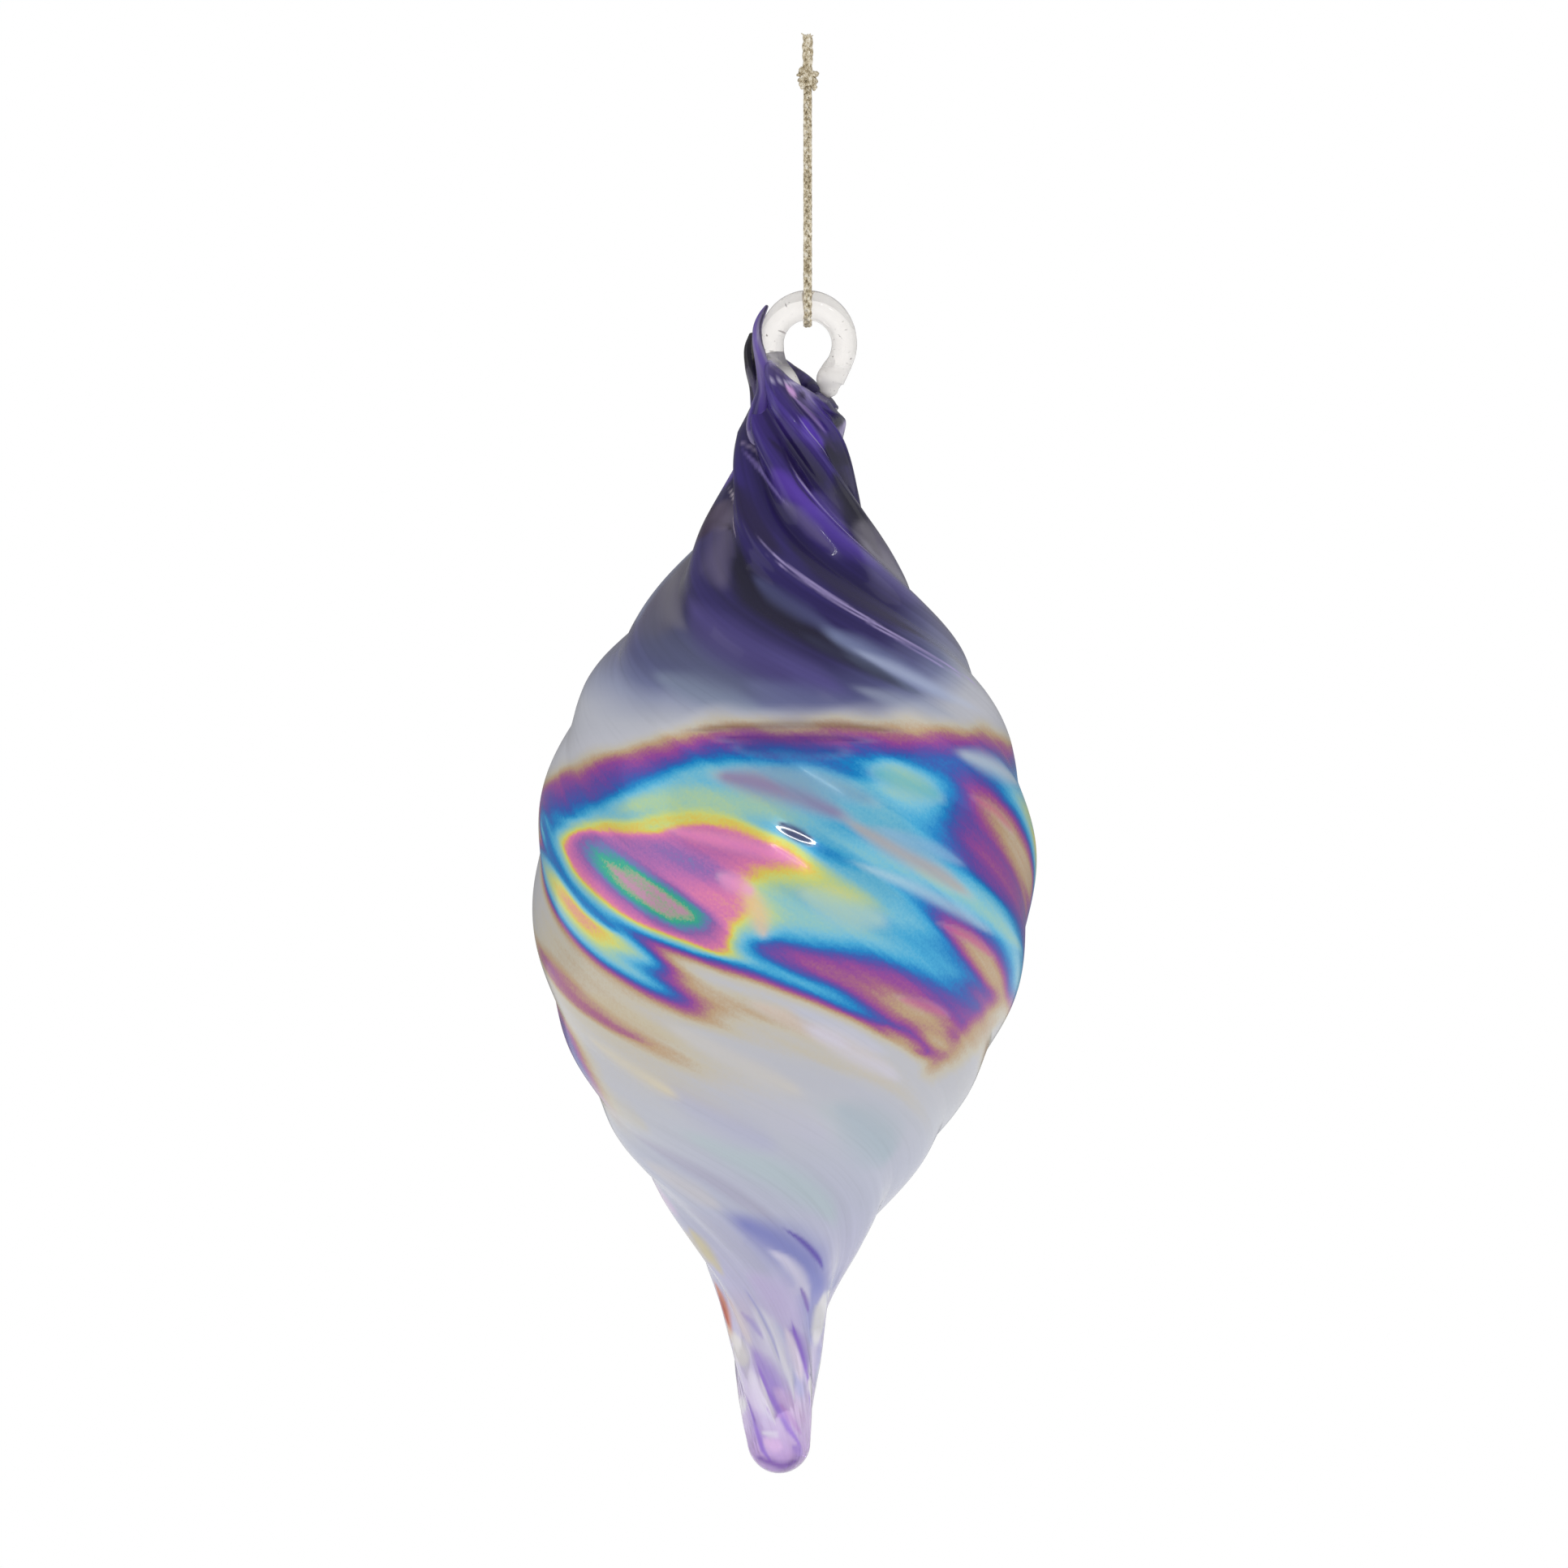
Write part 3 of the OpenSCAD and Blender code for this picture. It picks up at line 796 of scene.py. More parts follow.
def painted(angle, h):
    """Linear colour of the glass away from its lustre, with its painted reflections, highlights and shade."""
    wander = 0.12 * np.sin(np.radians(5 * angle) + h * 0.6)
    reach = smooth_at(REACH, angle) * ease(93, 98, h)
    colour = colour_at(h + wander * 2 - reach, *zip(*GROUND))
    # Painted reflection: the sides of the neck turn pale low down and dark higher up
    edge = ease(50, 88, np.abs(angle)) * ease(98, 106, h) * 0.5
    side_reflection_colour = toward(linear(SIDE_REFLECTION_LOW), linear(SIDE_REFLECTION_HIGH), ease(113, 121, h)[..., None])
    colour = toward(colour, side_reflection_colour, edge[..., None])
    turned = angle - smooth_at(TWIST, h)
    depth = 0.13 * ease(97, 108, h) + 0.03 * (1 - ease(30, 44, h))
    colour = colour * (1 + fine_lines(turned, h) * depth)[..., None]
    # Painted highlight on the rib crests and painted shade in the valleys
    colour = colour * rib_highlight_and_shade(turned, h)[..., None]
    for points, width, tint, strength, soft in all_streaks():
        share = streak_share(angle, h + wander, points, width, soft)[..., None] * strength
        colour = toward(colour, linear(tint), share)
    return colour


# ---------------------------------------------------------------- the lustre's film

MM_PER_DEGREE = 0.55

# The upper edge of the lustre: degrees round, height
TOP_EDGE = [
    (-180, 88), (-150, 90), (-120, 88), (-90, 86.6), (-75, 87.6), (-60, 88.1), (-50, 88.8), (-40, 89.9),
    (-30, 91.4), (-20, 93.2), (-10, 93.7), (0, 93.4), (20, 93.2), (38, 92.9), (55, 92.1), (66, 92),
    (80, 91.2), (110, 92), (140, 90), (180, 88),
]
# How far its colours spread down from that edge, against the front's
SPREAD = [
    (-180, 1.3), (-95, 1.7), (-60, 2.0), (-45, 1.8), (-30, 1.3), (-12, 1), (60, 1), (120, 1.4), (180, 1.3),
]
# Its lower edge, which the film crosses over about 4 mm, or 7 mm round the sides
LOW_EDGE = [
    (-180, 62), (-150, 66), (-120, 78), (-95, 82), (-75, 82.6), (-66, 79.2), (-55, 74.2), (-45, 70.6),
    (-35, 67.4), (-25, 65.2), (-15, 63.4), (-5, 61.6), (5, 59.6), (15, 57.6), (25, 55.6), (35, 53.8),
    (44, 52.2), (51, 52.2), (57, 54.4), (64, 56.4), (78, 58.4), (100, 57), (130, 55), (160, 58), (180, 62),
]
# Thickness of the film from its upper edge down, over the first millimetres
RISE = [
    (-4.4, 0.06), (-2.8, 0.14), (-1.6, 0.24), (-0.8, 0.30), (0.2, 0.35), (1.1, 0.39), (2.2, 0.435),
    (4.2, 0.48), (6.5, 0.55),
]

# Patches laid on the film in order: degrees round, height, half-length, half-width, tilt, thickness, softness
INSIDE = [
    (4, 91.2, 10, 1.1, 0, 0.43, 0.8),
    (20, 90.4, 10, 1.9, 6, 0.432, 0.8),
    (-14, 88.4, 13, 1.6, 2, 0.575, 0.9),
    (-36, 84.9, 15, 1.5, -2, 0.645, 0.8),
    (-14, 85.0, 10, 1.4, 10, 0.64, 0.9),
    (-34, 75.6, 17, 5.0, 15, 0.81, 0.3),
    (-32, 73.6, 15, 4.6, 21, 0.81, 0.3),
    (-19, 80.2, 7, 2.6, 2, 0.80, 0.4),
    (-3, 77.4, 8.4, 3.0, 24, 0.795, 0.4),
    (-16, 70.6, 4.6, 4.2, 60, 0.79, 0.4),
    (-25, 78.0, 12, 1.9, 16, 0.865, 0.9),
    (-8, 78.0, 6, 1.1, 12, 0.83, 0.9),
    (-31.8, 73.2, 12.8, 2.0, 30, 0.99, 0.7),
    (6, 72.4, 7, 3.4, 20, 0.625, 0.9),
    (-7, 69.0, 1.8, 3.0, 40, 0.672, 0.9),
    (15, 73.2, 4.4, 1.5, 26, 0.685, 0.9),
    (34, 86.4, 7.4, 2.2, 24, 0.632, 0.8),
    (20, 89.0, 6, 1.0, 14, 0.45, 0.9),
    (46, 84.0, 6, 1.5, 34, 0.45, 0.9),
    (11, 78.9, 4, 1.0, 22, 0.475, 0.9),
    (22, 80.0, 8, 1.2, 24, 0.51, 0.9),
    (28, 76.6, 9, 1.3, 24, 0.575, 0.9),
    (36, 73.0, 8, 1.0, 24, 0.51, 0.9),
    (24, 69.8, 12, 1.5, 14, 0.575, 0.9),
    (32, 87.4, 5.5, 1.8, 22, 0.625, 0.9),
    (60, 77.0, 12, 4.6, 24, 0.36, 0.9),
    (66, 75.6, 11, 3.4, 24, 0.345, 0.9),
    (67, 79.8, 13, 4.2, 36, 0.35, 0.6),
    (69, 79.4, 9.6, 1.9, 36, 0.225, 0.95),
    (80, 76.6, 7, 2.4, 44, 0.235, 0.95),
    (62, 70.4, 14, 1.1, 26, 0.57, 0.9),
    (-3, 66.4, 3.4, 1.2, 12, 0.45, 0.9),
    (40, 66.2, 9, 1.5, 20, 0.49, 0.9),
    (50, 57.6, 16, 2.6, 4, 0.35, 0.8),
    (26, 62.4, 17.0, 2.6, 14, 0.352, 0.9),
    (13, 63.8, 7, 1.4, 16, 0.325, 0.9),
    (34, 58.8, 8.4, 1.4, 19, 0.24, 0.9),
    (46, 55.0, 4, 1.0, 18, 0.225, 0.9),
    (46, 64.2, 8, 1.8, 22, 0.495, 0.9),
    (59, 64.8, 12.0, 2.5, 30, 0.33, 0.9),
    (60, 64.2, 10.4, 1.2, 30, 0.225, 0.95),
    (64, 60.0, 8, 1.2, 14, 0.355, 0.9),
    (112, 75, 20, 4.4, 24, 0.79, 0.6),
    (120, 72, 13, 1.9, 26, 0.86, 0.9),
    (150, 80, 18, 3.0, 22, 0.37, 0.8),
    (172, 73, 20, 4, 24, 0.77, 0.8),
    (-150, 78, 16, 3.2, 24, 0.80, 0.8),
    (-128, 82, 10, 2, 20, 0.5, 0.7),
    (100, 63, 16, 2.4, 22, 0.34, 0.9),
    (142, 63, 16, 2.0, 24, 0.34, 0.9),
]
# Bands laid on the film along (angle, height) points: half-width in mm, thickness, strength, softness
BANDS = [
    ([(-70, 83.6), (-60, 82.6), (-50, 81.9), (-40, 82.0), (-30, 82.9), (-20, 83.4), (-13, 82.8),
      (-6, 81.2), (2, 79.6), (8, 77.8)], 0.85, 0.725, 0.9, 0.95),
    ([(-22, 66.2), (-12, 64.6), (-5, 63.7), (5, 61.6), (15, 59.4), (28, 56.8)], 0.95, 0.52, 0.95, 0.7),
    ([(26, 57.2), (36, 55.2), (44, 53.6)], 0.6, 0.36, 0.9, 0.9),
    ([(28, 78.0), (40, 74.6), (52, 71.4), (66, 68.2), (80, 65.6)], 0.9, 0.62, 0.8, 0.95),
]
# And outside its lower edge
OUTER_BANDS = [
    ([(-84, 86), (-72, 81.4), (-62, 77.2), (-52, 73.0), (-44, 70.2), (-38, 68.2)], 1.25, 0.435, 1.0, 0.6),
    ([(-86, 67), (-72, 63), (-60, 59.6), (-48, 56.8), (-34, 54.2)], 0.8, 0.305, 0.9, 0.95),
    ([(42, 50.8), (52, 51.4), (60, 53.6), (70, 56.2), (84, 57.6)], 2.0, 0.20, 1.0, 0.9),
    ([(96, 55), (130, 53), (160, 57), (184, 61), (212, 66), (240, 77)], 1.8, 0.21, 1.0, 0.9),
]
OUTSIDE = [
    (-48, 61, 22, 7.5, 20, 0.19, 0.6),
    (-52, 69.5, 20.0, 3.4, 29, 0.49, 0.48),
    (-55, 71.2, 12.0, 2.3, 31, 0.765, 0.9),
    (-72, 81.5, 5, 1.5, 31, 0.73, 0.9),
    (-70, 63.2, 9, 1.5, 26, 0.33, 0.9),
    (-57, 59.4, 8, 1.2, 26, 0.285, 0.9),
    (-42, 56.0, 10, 1.0, 24, 0.25, 0.9),
    (-84, 53.4, 10, 4.4, 44, 0.41, 0.9),
    (-8, 59.0, 13, 1.1, 20, 0.235, 0.95),
    (8, 56.6, 12, 0.9, 20, 0.20, 0.95),
    (-120, 62, 16, 2.6, 24, 0.36, 0.9),
    (-160, 52, 14, 3, 24, 0.34, 0.9),
    (140, 48, 14, 2.4, 24, 0.3, 0.9),
    (24, 50.6, 16, 1.5, 18, 0.17, 0.95),
    (-4, 52.0, 14, 1.4, 20, 0.03, 0.95),
    (30, 47.4, 12, 1.3, 18, 0.01, 0.95),
    (-30, 48.6, 10, 1.2, 22, 0.16, 0.95),
    (96, 50, 14, 1.8, 22, 0.26, 0.95),
    (170, 60, 12, 1.8, 22, 0.29, 0.95),
    (-130, 56, 14, 1.6, 24, 0.22, 0.95),
    (118, 42, 12, 1.4, 22, 0.0, 0.95),
    (-172, 44, 12, 1.6, 22, 0.19, 0.95),
]
# Lines that lie over the film, dusty tints and two painted dark reflections: (angle, height) points,
# half-width in mm, colour, strength, softness
VEILS = [
    ([(-20, 88.8), (-8, 87.8), (4, 86.0), (18, 82.4)], 1.6, (146, 110, 150), 0.8, 0.95),
    ([(-6, 89.6), (8, 88), (24, 84.6)], 1.3, (124, 148, 176), 0.6, 0.95),
    ([(12, 83.6), (24, 80.0), (36, 76.6), (50, 72.6)], 1.1, (178, 164, 158), 0.8, 0.95),
    ([(46, 91.6), (62, 89.6), (80, 87.2)], 1.3, (184, 194, 200), 0.75, 0.95),
    ([(20, 89.2), (31, 87.6), (43, 85.4)], 1.5, (92, 168, 174), 0.6, 0.95),
    ([(-14, 92.0), (0, 91.9), (18, 91.4)], 1.1, (16, 66, 132), 0.5, 0.95),
    ([(14, 78), (30, 74.8), (46, 71.2), (60, 68)], 0.7, (196, 214, 220), 0.5, 0.9),
    ([(-30, 82), (-10, 79.6), (4, 77.6)], 0.8, (232, 140, 192), 0.5, 0.9),
    ([(-9, 75.2), (-6, 71.4), (-4, 67.6)], 1.2, (230, 190, 160), 0.7, 0.95),
    ([(-16, 76), (-6, 73.6)], 1.0, (234, 160, 206), 0.6, 0.9),
    ([(2, 74.4), (14, 71.6), (26, 69.6)], 1.7, (190, 210, 190), 0.5, 0.9),
    ([(-30, 93.8), (-14, 94.6), (4, 94.9), (20, 94.6), (34, 94)], 0.6, (98, 70, 62), 0.6, 0.95),
    ([(-20, 93), (-6, 93.3), (8, 93.2), (26, 92.9)], 0.7, (58, 38, 110), 0.6, 0.95),
    ([(20, 82.4), (34, 79.6), (46, 77)], 0.8, (150, 176, 206), 0.5, 0.9),
    ([(38, 70.2), (50, 68), (62, 65)], 0.45, (200, 92, 150), 0.6, 0.95),
    ([(50, 86), (60, 83.8), (70, 80.6)], 0.5, (196, 88, 140), 0.5, 0.95),
    ([(28, 60.8), (38, 59.4), (48, 58)], 0.6, (202, 100, 160), 0.5, 0.9),
    ([(-60, 62), (-40, 57.6), (-22, 54)], 1.4, (196, 182, 150), 0.35, 0.9),
    # Painted reflection: the dark middle of the ring lamp's mirrored image, painted on the glass
    ([(-2.2, 82.6), (2.4, 81.5), (7.4, 80.2)], 0.6, (52, 54, 104), 0.9, 0.6),
    ([(-1.8, 81.8), (2.8, 80.7), (7.4, 79.6)], 0.5, (46, 48, 96), 0.9, 0.5),
    ([(-10, 60.4), (6, 57), (20, 54)], 1.0, (212, 192, 186), 0.5, 0.9),
    ([(0, 59.6), (16, 56.2), (32, 53)], 0.9, (188, 192, 214), 0.5, 0.9),
    ([(4, 57.4), (20, 53.6), (40, 49.6)], 1.1, (208, 204, 222), 0.6, 0.95),
    ([(-34, 58), (-12, 52.6), (10, 47.6)], 1.2, (206, 200, 190), 0.5, 0.95),
    ([(-46, 51), (-22, 45.6), (2, 40.8)], 1.4, (182, 184, 208), 0.55, 0.95),
    ([(16, 47.4), (34, 43.4), (54, 39.4)], 1.6, (172, 186, 198), 0.5, 0.95),
    ([(-66, 56), (-48, 51.4), (-32, 47.6)], 1.0, (214, 204, 180), 0.5, 0.95),
]

# Colour of the film against its thickness
FILM_COLOURS = [
    (0.00, (188, 190, 202)), (0.10, (192, 192, 197)), (0.18, (198, 190, 172)), (0.25, (188, 158, 125)),
    (0.30, (168, 102, 132)), (0.34, (148, 70, 152)), (0.38, (100, 72, 162)), (0.42, (52, 90, 176)),
    (0.46, (8, 130, 198)), (0.51, (66, 168, 214)), (0.56, (114, 189, 216)), (0.61, (146, 198, 194)),
    (0.66, (178, 208, 160)), (0.70, (208, 215, 122)), (0.73, (224, 200, 92)), (0.76, (227, 160, 135)),
    (0.79, (220, 125, 172)), (0.83, (192, 112, 176)), (0.87, (147, 104, 175)), (0.90, (108, 130, 182)),
    (0.925, (72, 158, 162)), (0.945, (62, 178, 146)), (0.965, (150, 176, 146)), (0.985, (192, 150, 172)),
    (1.00, (200, 150, 180)),
]


def invented_patches(count, heights, widths, values):
    """Long slanting patches of film for the sides and back, which continue the front's."""
    rows = []
    for k in range(count):
        a = 100 + 166 * (k + RANDOM.uniform(0, 1)) / count
        h = RANDOM.uniform(*heights) - 0.05 * abs(a - 180)
        value = values[int(RANDOM.integers(len(values)))]
        size = (RANDOM.uniform(7, 15), RANDOM.uniform(*widths))
        rows.append((a, h, *size, RANDOM.uniform(21, 29), value, 0.95))
    return rows


def lay_patches(film, angle, h, rows):
    """Lays patches of thickness on the film, in order."""
    for a0, h0, half_long, half_wide, tilt, value, soft in rows:
        x, y = turn(angle - a0) * MM_PER_DEGREE, h - h0
        c, s = math.cos(math.radians(tilt)), math.sin(math.radians(tilt))
        away = np.hypot((x * c - y * s) / half_long, (x * s + y * c) / half_wide)
        film = toward(film, value, 1 - ease(1 - soft, 1 + soft, away))
    return film


def lay_bands(film, angle, h, rows):
    """Lays bands of thickness on the film, in order."""
    for points, width, value, strength, soft in rows:
        film = toward(film, value, streak_share(angle, h, points, width, soft) * strength)
    return film


def wavy(angle, h, size, seed):
    """Slow unevenness over the skin, from -1 to 1."""
    a = np.radians(angle)
    total = 0
    for k, (turns, per_mm) in enumerate(((3, 0.11), (7, -0.23), (13, 0.41), (19, -0.63))):
        total = total + np.sin(turns * a + h * per_mm / size + seed * (k + 1.7)) / (1 + 0.6 * k)
    return total / 2.2


INSIDE_VALUES = (0.36, 0.42, 0.47, 0.53, 0.60, 0.64, 0.69, 0.74, 0.79, 0.84)
OUTSIDE_VALUES = (0.0, 0.02, 0.16, 0.2, 0.24, 0.29)
OUTSIDE_BASE = 0.09
LOOSE = 1.7


def film_thickness(angle, h):
    """Thickness of the lustre, from 0 to 1, and the share of the surface's colour that it gives."""
    h = h + 0.16 * wavy(angle, h, 1, 2.0)
    angle_in = angle + 0.5 * wavy(angle, h, 0.8, 5.0)
    below = smooth_at(TOP_EDGE, angle_in) - h + 0.75 * wavy(angle, h, 0.5, 9.0)
    below = below / np.where(below > 0, smooth_at(SPREAD, angle), 1)
    above = h - smooth_at(LOW_EDGE, angle_in)
    cap = np.interp(below, *zip(*RISE))
    back = invented_patches(34, (67, 91), (0.7, 1.9), INSIDE_VALUES)
    inside = lay_bands(lay_patches(cap, angle_in, h, INSIDE + back), angle_in, h, BANDS)
    inside = toward(cap, inside, ease(1.2, 3.6, below))
    back = invented_patches(22, (40, 76), (0.8, 2.0), OUTSIDE_VALUES)
    outside = lay_patches(np.full(cap.shape, OUTSIDE_BASE), angle_in, h, OUTSIDE + back)
    outside = lay_bands(outside, angle_in, h, OUTER_BANDS)
    loose = LOOSE * np.clip(ease(40, 58, angle) + ease(-86, -104, angle), 0, 1)
    film = toward(outside, inside, ease(-0.9 - loose, 2.9 + loose, above))
    share = ease(-4.8, -1.6, below) * ease(38, 54, h)
    for points, width, _, strength, soft in VEILS:
        share = share * (1 - streak_share(angle, h, points, width, soft) * strength)
    return film, share


# How much the fine grain and the slow clouds vary the film's thickness
FILM_GRAIN = 0.064
FILM_CLOUD = 0.080


def glass_material():
    """Violet glass whose lustre film runs from silver through every colour of a thin film."""
    n = Nodes(bpy.data.materials.new("violet_lustre_glass"))
    place = n.place()
    flow = n.attribute("flow", "Vector")
    grain = n.noise(place, 2600, 3.0, 0.65)
    cloud = n.noise(n.scaled(flow, (1, 1, 0.5)), 420, 3.0, 0.55)
    drawn = n.noise(flow, 700, 4.0, 0.6)
    film = n.math("MULTIPLY_ADD", grain, FILM_GRAIN, n.attribute("film"))
    film = n.math("MULTIPLY_ADD", cloud, FILM_CLOUD, film)
    film = n.math("SUBTRACT", film, (FILM_GRAIN + FILM_CLOUD) / 2)
    lustre = n.ramp(film, FILM_COLOURS)
    shade = n.math("MULTIPLY_ADD", drawn, 0.9, 0.55)
    grey = n.ramp(shade, [(0, (0, 0, 0)), (1, (255, 255, 255))])
    shaded = n.mix(1.0, n.attribute("paint", "Color"), grey, "MULTIPLY")
    paint = n.mix(0.35, n.attribute("paint", "Color"), shaded)
    colour = n.mix(n.attribute("lustre"), paint, lustre)
    waves = n.bump(n.noise(n.scaled(flow, (1, 1, 0.7)), 130, 2.0), 0.05, 0.0006)
    relief = n.bump(grain, 0.02, 0.00005, waves)
    n.surface(
        Base_Color=colour,
        Metallic=n.attribute("metal"),
        Roughness=n.math("MULTIPLY_ADD", grain, 0.06, n.attribute("satin")),
        Transmission_Weight=n.attribute("clear"),
        IOR=1.5,
        Coat_Weight=n.attribute("gloss"),
        Coat_Roughness=0.03,
        Specular_IOR_Level=0.25,
        Normal=relief,
    )
    return n.owner


TAIL_LIFT = 0.50
TAIL_VIVID = 0.7
# The patch that mirrors the ring lamp: angle, height, half-sizes in degrees and mm, and fall per degree
POLISHED_ANGLE, POLISHED_H = 2.4, 81.3
POLISHED_WIDE, POLISHED_HIGH = 9, 1.9
POLISHED_FALL = 0.26


def polished(angle, h):
    """1 on the glossiest patch of the front, 0 round it."""
    aside = turn(angle - POLISHED_ANGLE)
    rise = h - POLISHED_H + POLISHED_FALL * aside
    return 1 - ease(0.5, 1.2, np.hypot(aside / POLISHED_WIDE, rise / POLISHED_HIGH))


def finish_glass(mesh, angle, h, turned):
    """Stores what the glass material reads at each point of the mesh."""
    film, share = film_thickness(angle, h)
    tail = 1 - ease(10, 42, h)
    neck = ease(98, 112, h)
    paint = painted(angle, h) ** (1 - TAIL_LIFT * tail)[:, None]
    grey = paint.mean(axis=1, keepdims=True)
    paint = np.clip(grey + (paint - grey) * (1 + TAIL_VIVID * tail)[:, None], 0.002, 1)
    store(mesh, "paint", paint, "FLOAT_COLOR")
    store(mesh, "film", film)
    store(mesh, "lustre", share)
    store(mesh, "clear", 0.50 * tail + 0.02 * neck)
    store(mesh, "metal", 0.2 * share)
    store(mesh, "satin", 0.19 - 0.14 * tail)
    store(mesh, "gloss", np.clip(0.15 + polished(angle, h) + 0.6 * tail + 0.2 * neck, 0, 1))
    t = np.radians(turned)
    flow = np.stack([30 * np.cos(t), 30 * np.sin(t), h * 0.14], -1) * MM
    store(mesh, "flow", flow, "FLOAT_VECTOR")


def make_bulb(material):
    """The blown drop: its ribbed skin, the lip of its mouth and the cavity inside."""
    h, in_by = glass_rings()
    points, angle, turned = glass_points(h, in_by)
    rings = len(h)
    low = [smooth_at(SWAY, 0.0), 0, TIP_Z]
    inner = [smooth_at(SWAY, float(CAVITY_FLOOR)), 0, TIP_Z + CAVITY_FLOOR]
    every = np.vstack([[low], points.reshape(-1, 3), [inner]]) * MM
    mesh = mesh_of("glass_drop", every, tube_faces(0, rings, COLUMNS))
    height = every[:, 2] / MM - TIP_Z
    angle = np.concatenate([[0], angle.ravel(), [0]])
    turned = np.concatenate([[0], turned.ravel(), [0]])
    finish_glass(mesh, angle, height, turned)
    mesh.materials.append(material)
    bulb = link_object("glass_drop", mesh)
    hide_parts("glass_bulb")
    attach(bulb, "ornament")
    return bulb


# ---------------------------------------------------------------- trails and clear loop

# The violet trails drawn out of the neck's ribs: x, y, z and radius
FRONT_TRAIL = [
    (-3.6, -3.4, -49.5, 0.9), (-4.9, -2.9, -47, 1.15), (-5.8, -2.2, -44.8, 1.3), (-6.3, -2.2, -42.8, 1.45),
    (-5.8, -2.6, -40.4, 1.45), (-5.3, -2.5, -38.2, 1.25), (-5.5, -2.2, -36, 1.05), (-6, -1.7, -33.8, 0.8),
    (-6.4, -1.3, -31.6, 0.65), (-6.3, -1.1, -29.8, 0.55), (-5.7, -1, -28.3, 0.42), (-5.2, -0.9, -27.4, 0.24),
]
REAR_TRAIL = [
    (-4.6, 2.6, -47.5, 0.9), (-5.8, 1.4, -44, 1.15), (-6.2, 1.8, -40.6, 1), (-6.5, 2, -37.6, 0.9),
    (-7.1, 1.9, -34.8, 0.92), (-7.3, 1.7, -32.4, 0.75), (-7.1, 1.5, -31, 0.4),
]
TRAIL_SIDES = 40
TRAIL_STEP = 0.12
# Its glass is fluted with three lobes, and its paint turns this many degrees from end to end
TRAIL_LOBES = (3, 0.05, 0.05)
TRAIL_TURN = 260
TRAIL_GLASS = {"film": 0.0, "lustre": 0.0, "clear": 0.35, "metal": 0.0, "satin": 0.12, "gloss": 0.6}


def make_trail(name, stops, material, ground, streaks):
    """One violet trail of glass, with its own streaks along it."""
    path = along_path(np.array(stops), TRAIL_STEP)
    tube, rings = tube_points(path[:, :3], path[:, 3], TRAIL_SIDES, (0, 1, 0), 1.0, *TRAIL_LOBES)
    mesh = mesh_of(name, tube * MM, tube_faces(0, rings, TRAIL_SIDES))
    count = len(tube)
    row = np.clip((np.arange(count) - 1) // TRAIL_SIDES, 0, rings - 1)
    share = row / rings
    turned = (np.arange(count) - 1) % TRAIL_SIDES * 360 / TRAIL_SIDES + share * TRAIL_TURN
    colour = colour_at(share, np.arange(len(ground)) / (len(ground) - 1), ground)
    for at, width, tint, strength in streaks:
        on = (1 - ease(width * 0.3, width, np.abs(turn(turned - at))))[:, None] * strength
        colour = toward(colour, linear(tint), on)
    store(mesh, "paint", colour, "FLOAT_COLOR")
    for key, value in TRAIL_GLASS.items():
        store(mesh, key, np.full(count, value))
    t = np.radians(turned)
    store(mesh, "flow", np.stack([6 * np.cos(t), 6 * np.sin(t), share * 4], -1) * MM, "FLOAT_VECTOR")
    mesh.materials.append(material)
    piece = link_object(name, mesh)
    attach(piece, "ornament")
    return piece


# The clear loop: eye, rod and ring centre in millimetres, and x, z and radius at the rod's two ends
EYE_R = 3.05
ROD_TOP_R = 1.9
ROD_SIDE_R = 1.6
RING_Z = -32.15
ROD_FOOT = [(-1.7, -43, 1.5), (-1.9, -41, 1.6), (-2.2, -39, 1.8), (-3, -37, 1.85), (-4.2, -35, 1.7)]
ROD_END = [(4.1, -34.4, 1.6), (3.3, -35.8, 1.75), (2.8, -36.8, 1.75), (2.7, -37.8, 1.2)]
ROD_SIDES = 48
ROD_STEP = 0.16


def loop_stops():
    """Stops of the clear rod: its foot in the neck, round the eye, and its end laid on the mouth."""
    stops = list(ROD_FOOT)
    for degrees in range(-95, 111, 15):
        a = math.radians(degrees)
        r = ROD_SIDE_R + (ROD_TOP_R - ROD_SIDE_R) * max(0, math.cos(a)) ** 2
        stops.append(((EYE_R + r) * math.sin(a), RING_Z + (EYE_R + r) * math.cos(a), r))
    return stops + ROD_END


def clear_material():
    """Clear glass with seeds in it, a little uneven on its skin and milky where it was pressed on."""
    n = Nodes(bpy.data.materials.new("clear_glass"))
    place = n.place()
    waves = n.noise(place, 420, 2.0)
    pits = n.noise(place, 3800, 2.0, 0.6)
    relief = n.bump(pits, 0.04, 0.00004, n.bump(waves, 0.10, 0.0004))
    seeds = n.ramp(n.noise(place, 2300, 1.0), [(0.70, (243, 240, 237)), (0.76, (128, 120, 118))])
    n.surface(
        Base_Color=seeds,
        Roughness=n.math("MULTIPLY_ADD", pits, 0.05, 0.01),
        Transmission_Weight=n.math("SUBTRACT", 1.0, n.attribute("milk")),
        IOR=1.48,
        Normal=relief,
    )
    return n.owner


def make_loop(material):
    """The clear loop that the ornament hangs by."""
    stops = np.array([(x, 0.0, z, r) for x, z, r in loop_stops()])
    path = along_path(stops, ROD_STEP)
    tube, rings = tube_points(path[:, :3], path[:, 3], ROD_SIDES)
    mesh = mesh_of("glass_loop_clear", tube * MM, tube_faces(0, rings, ROD_SIDES))
    store(mesh, "milk", 0.18 + 0.6 * (1 - ease(-36.6, -34.4, tube[:, 2])))
    mesh.materials.append(material)
    loop = link_object("glass_loop_clear", mesh)
    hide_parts("glass_loop")
    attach(loop, "ornament")
    return loop


# ---------------------------------------------------------------- floor and light

FLOOR_Z = -0.240
FLOOR_HALF = 1.1
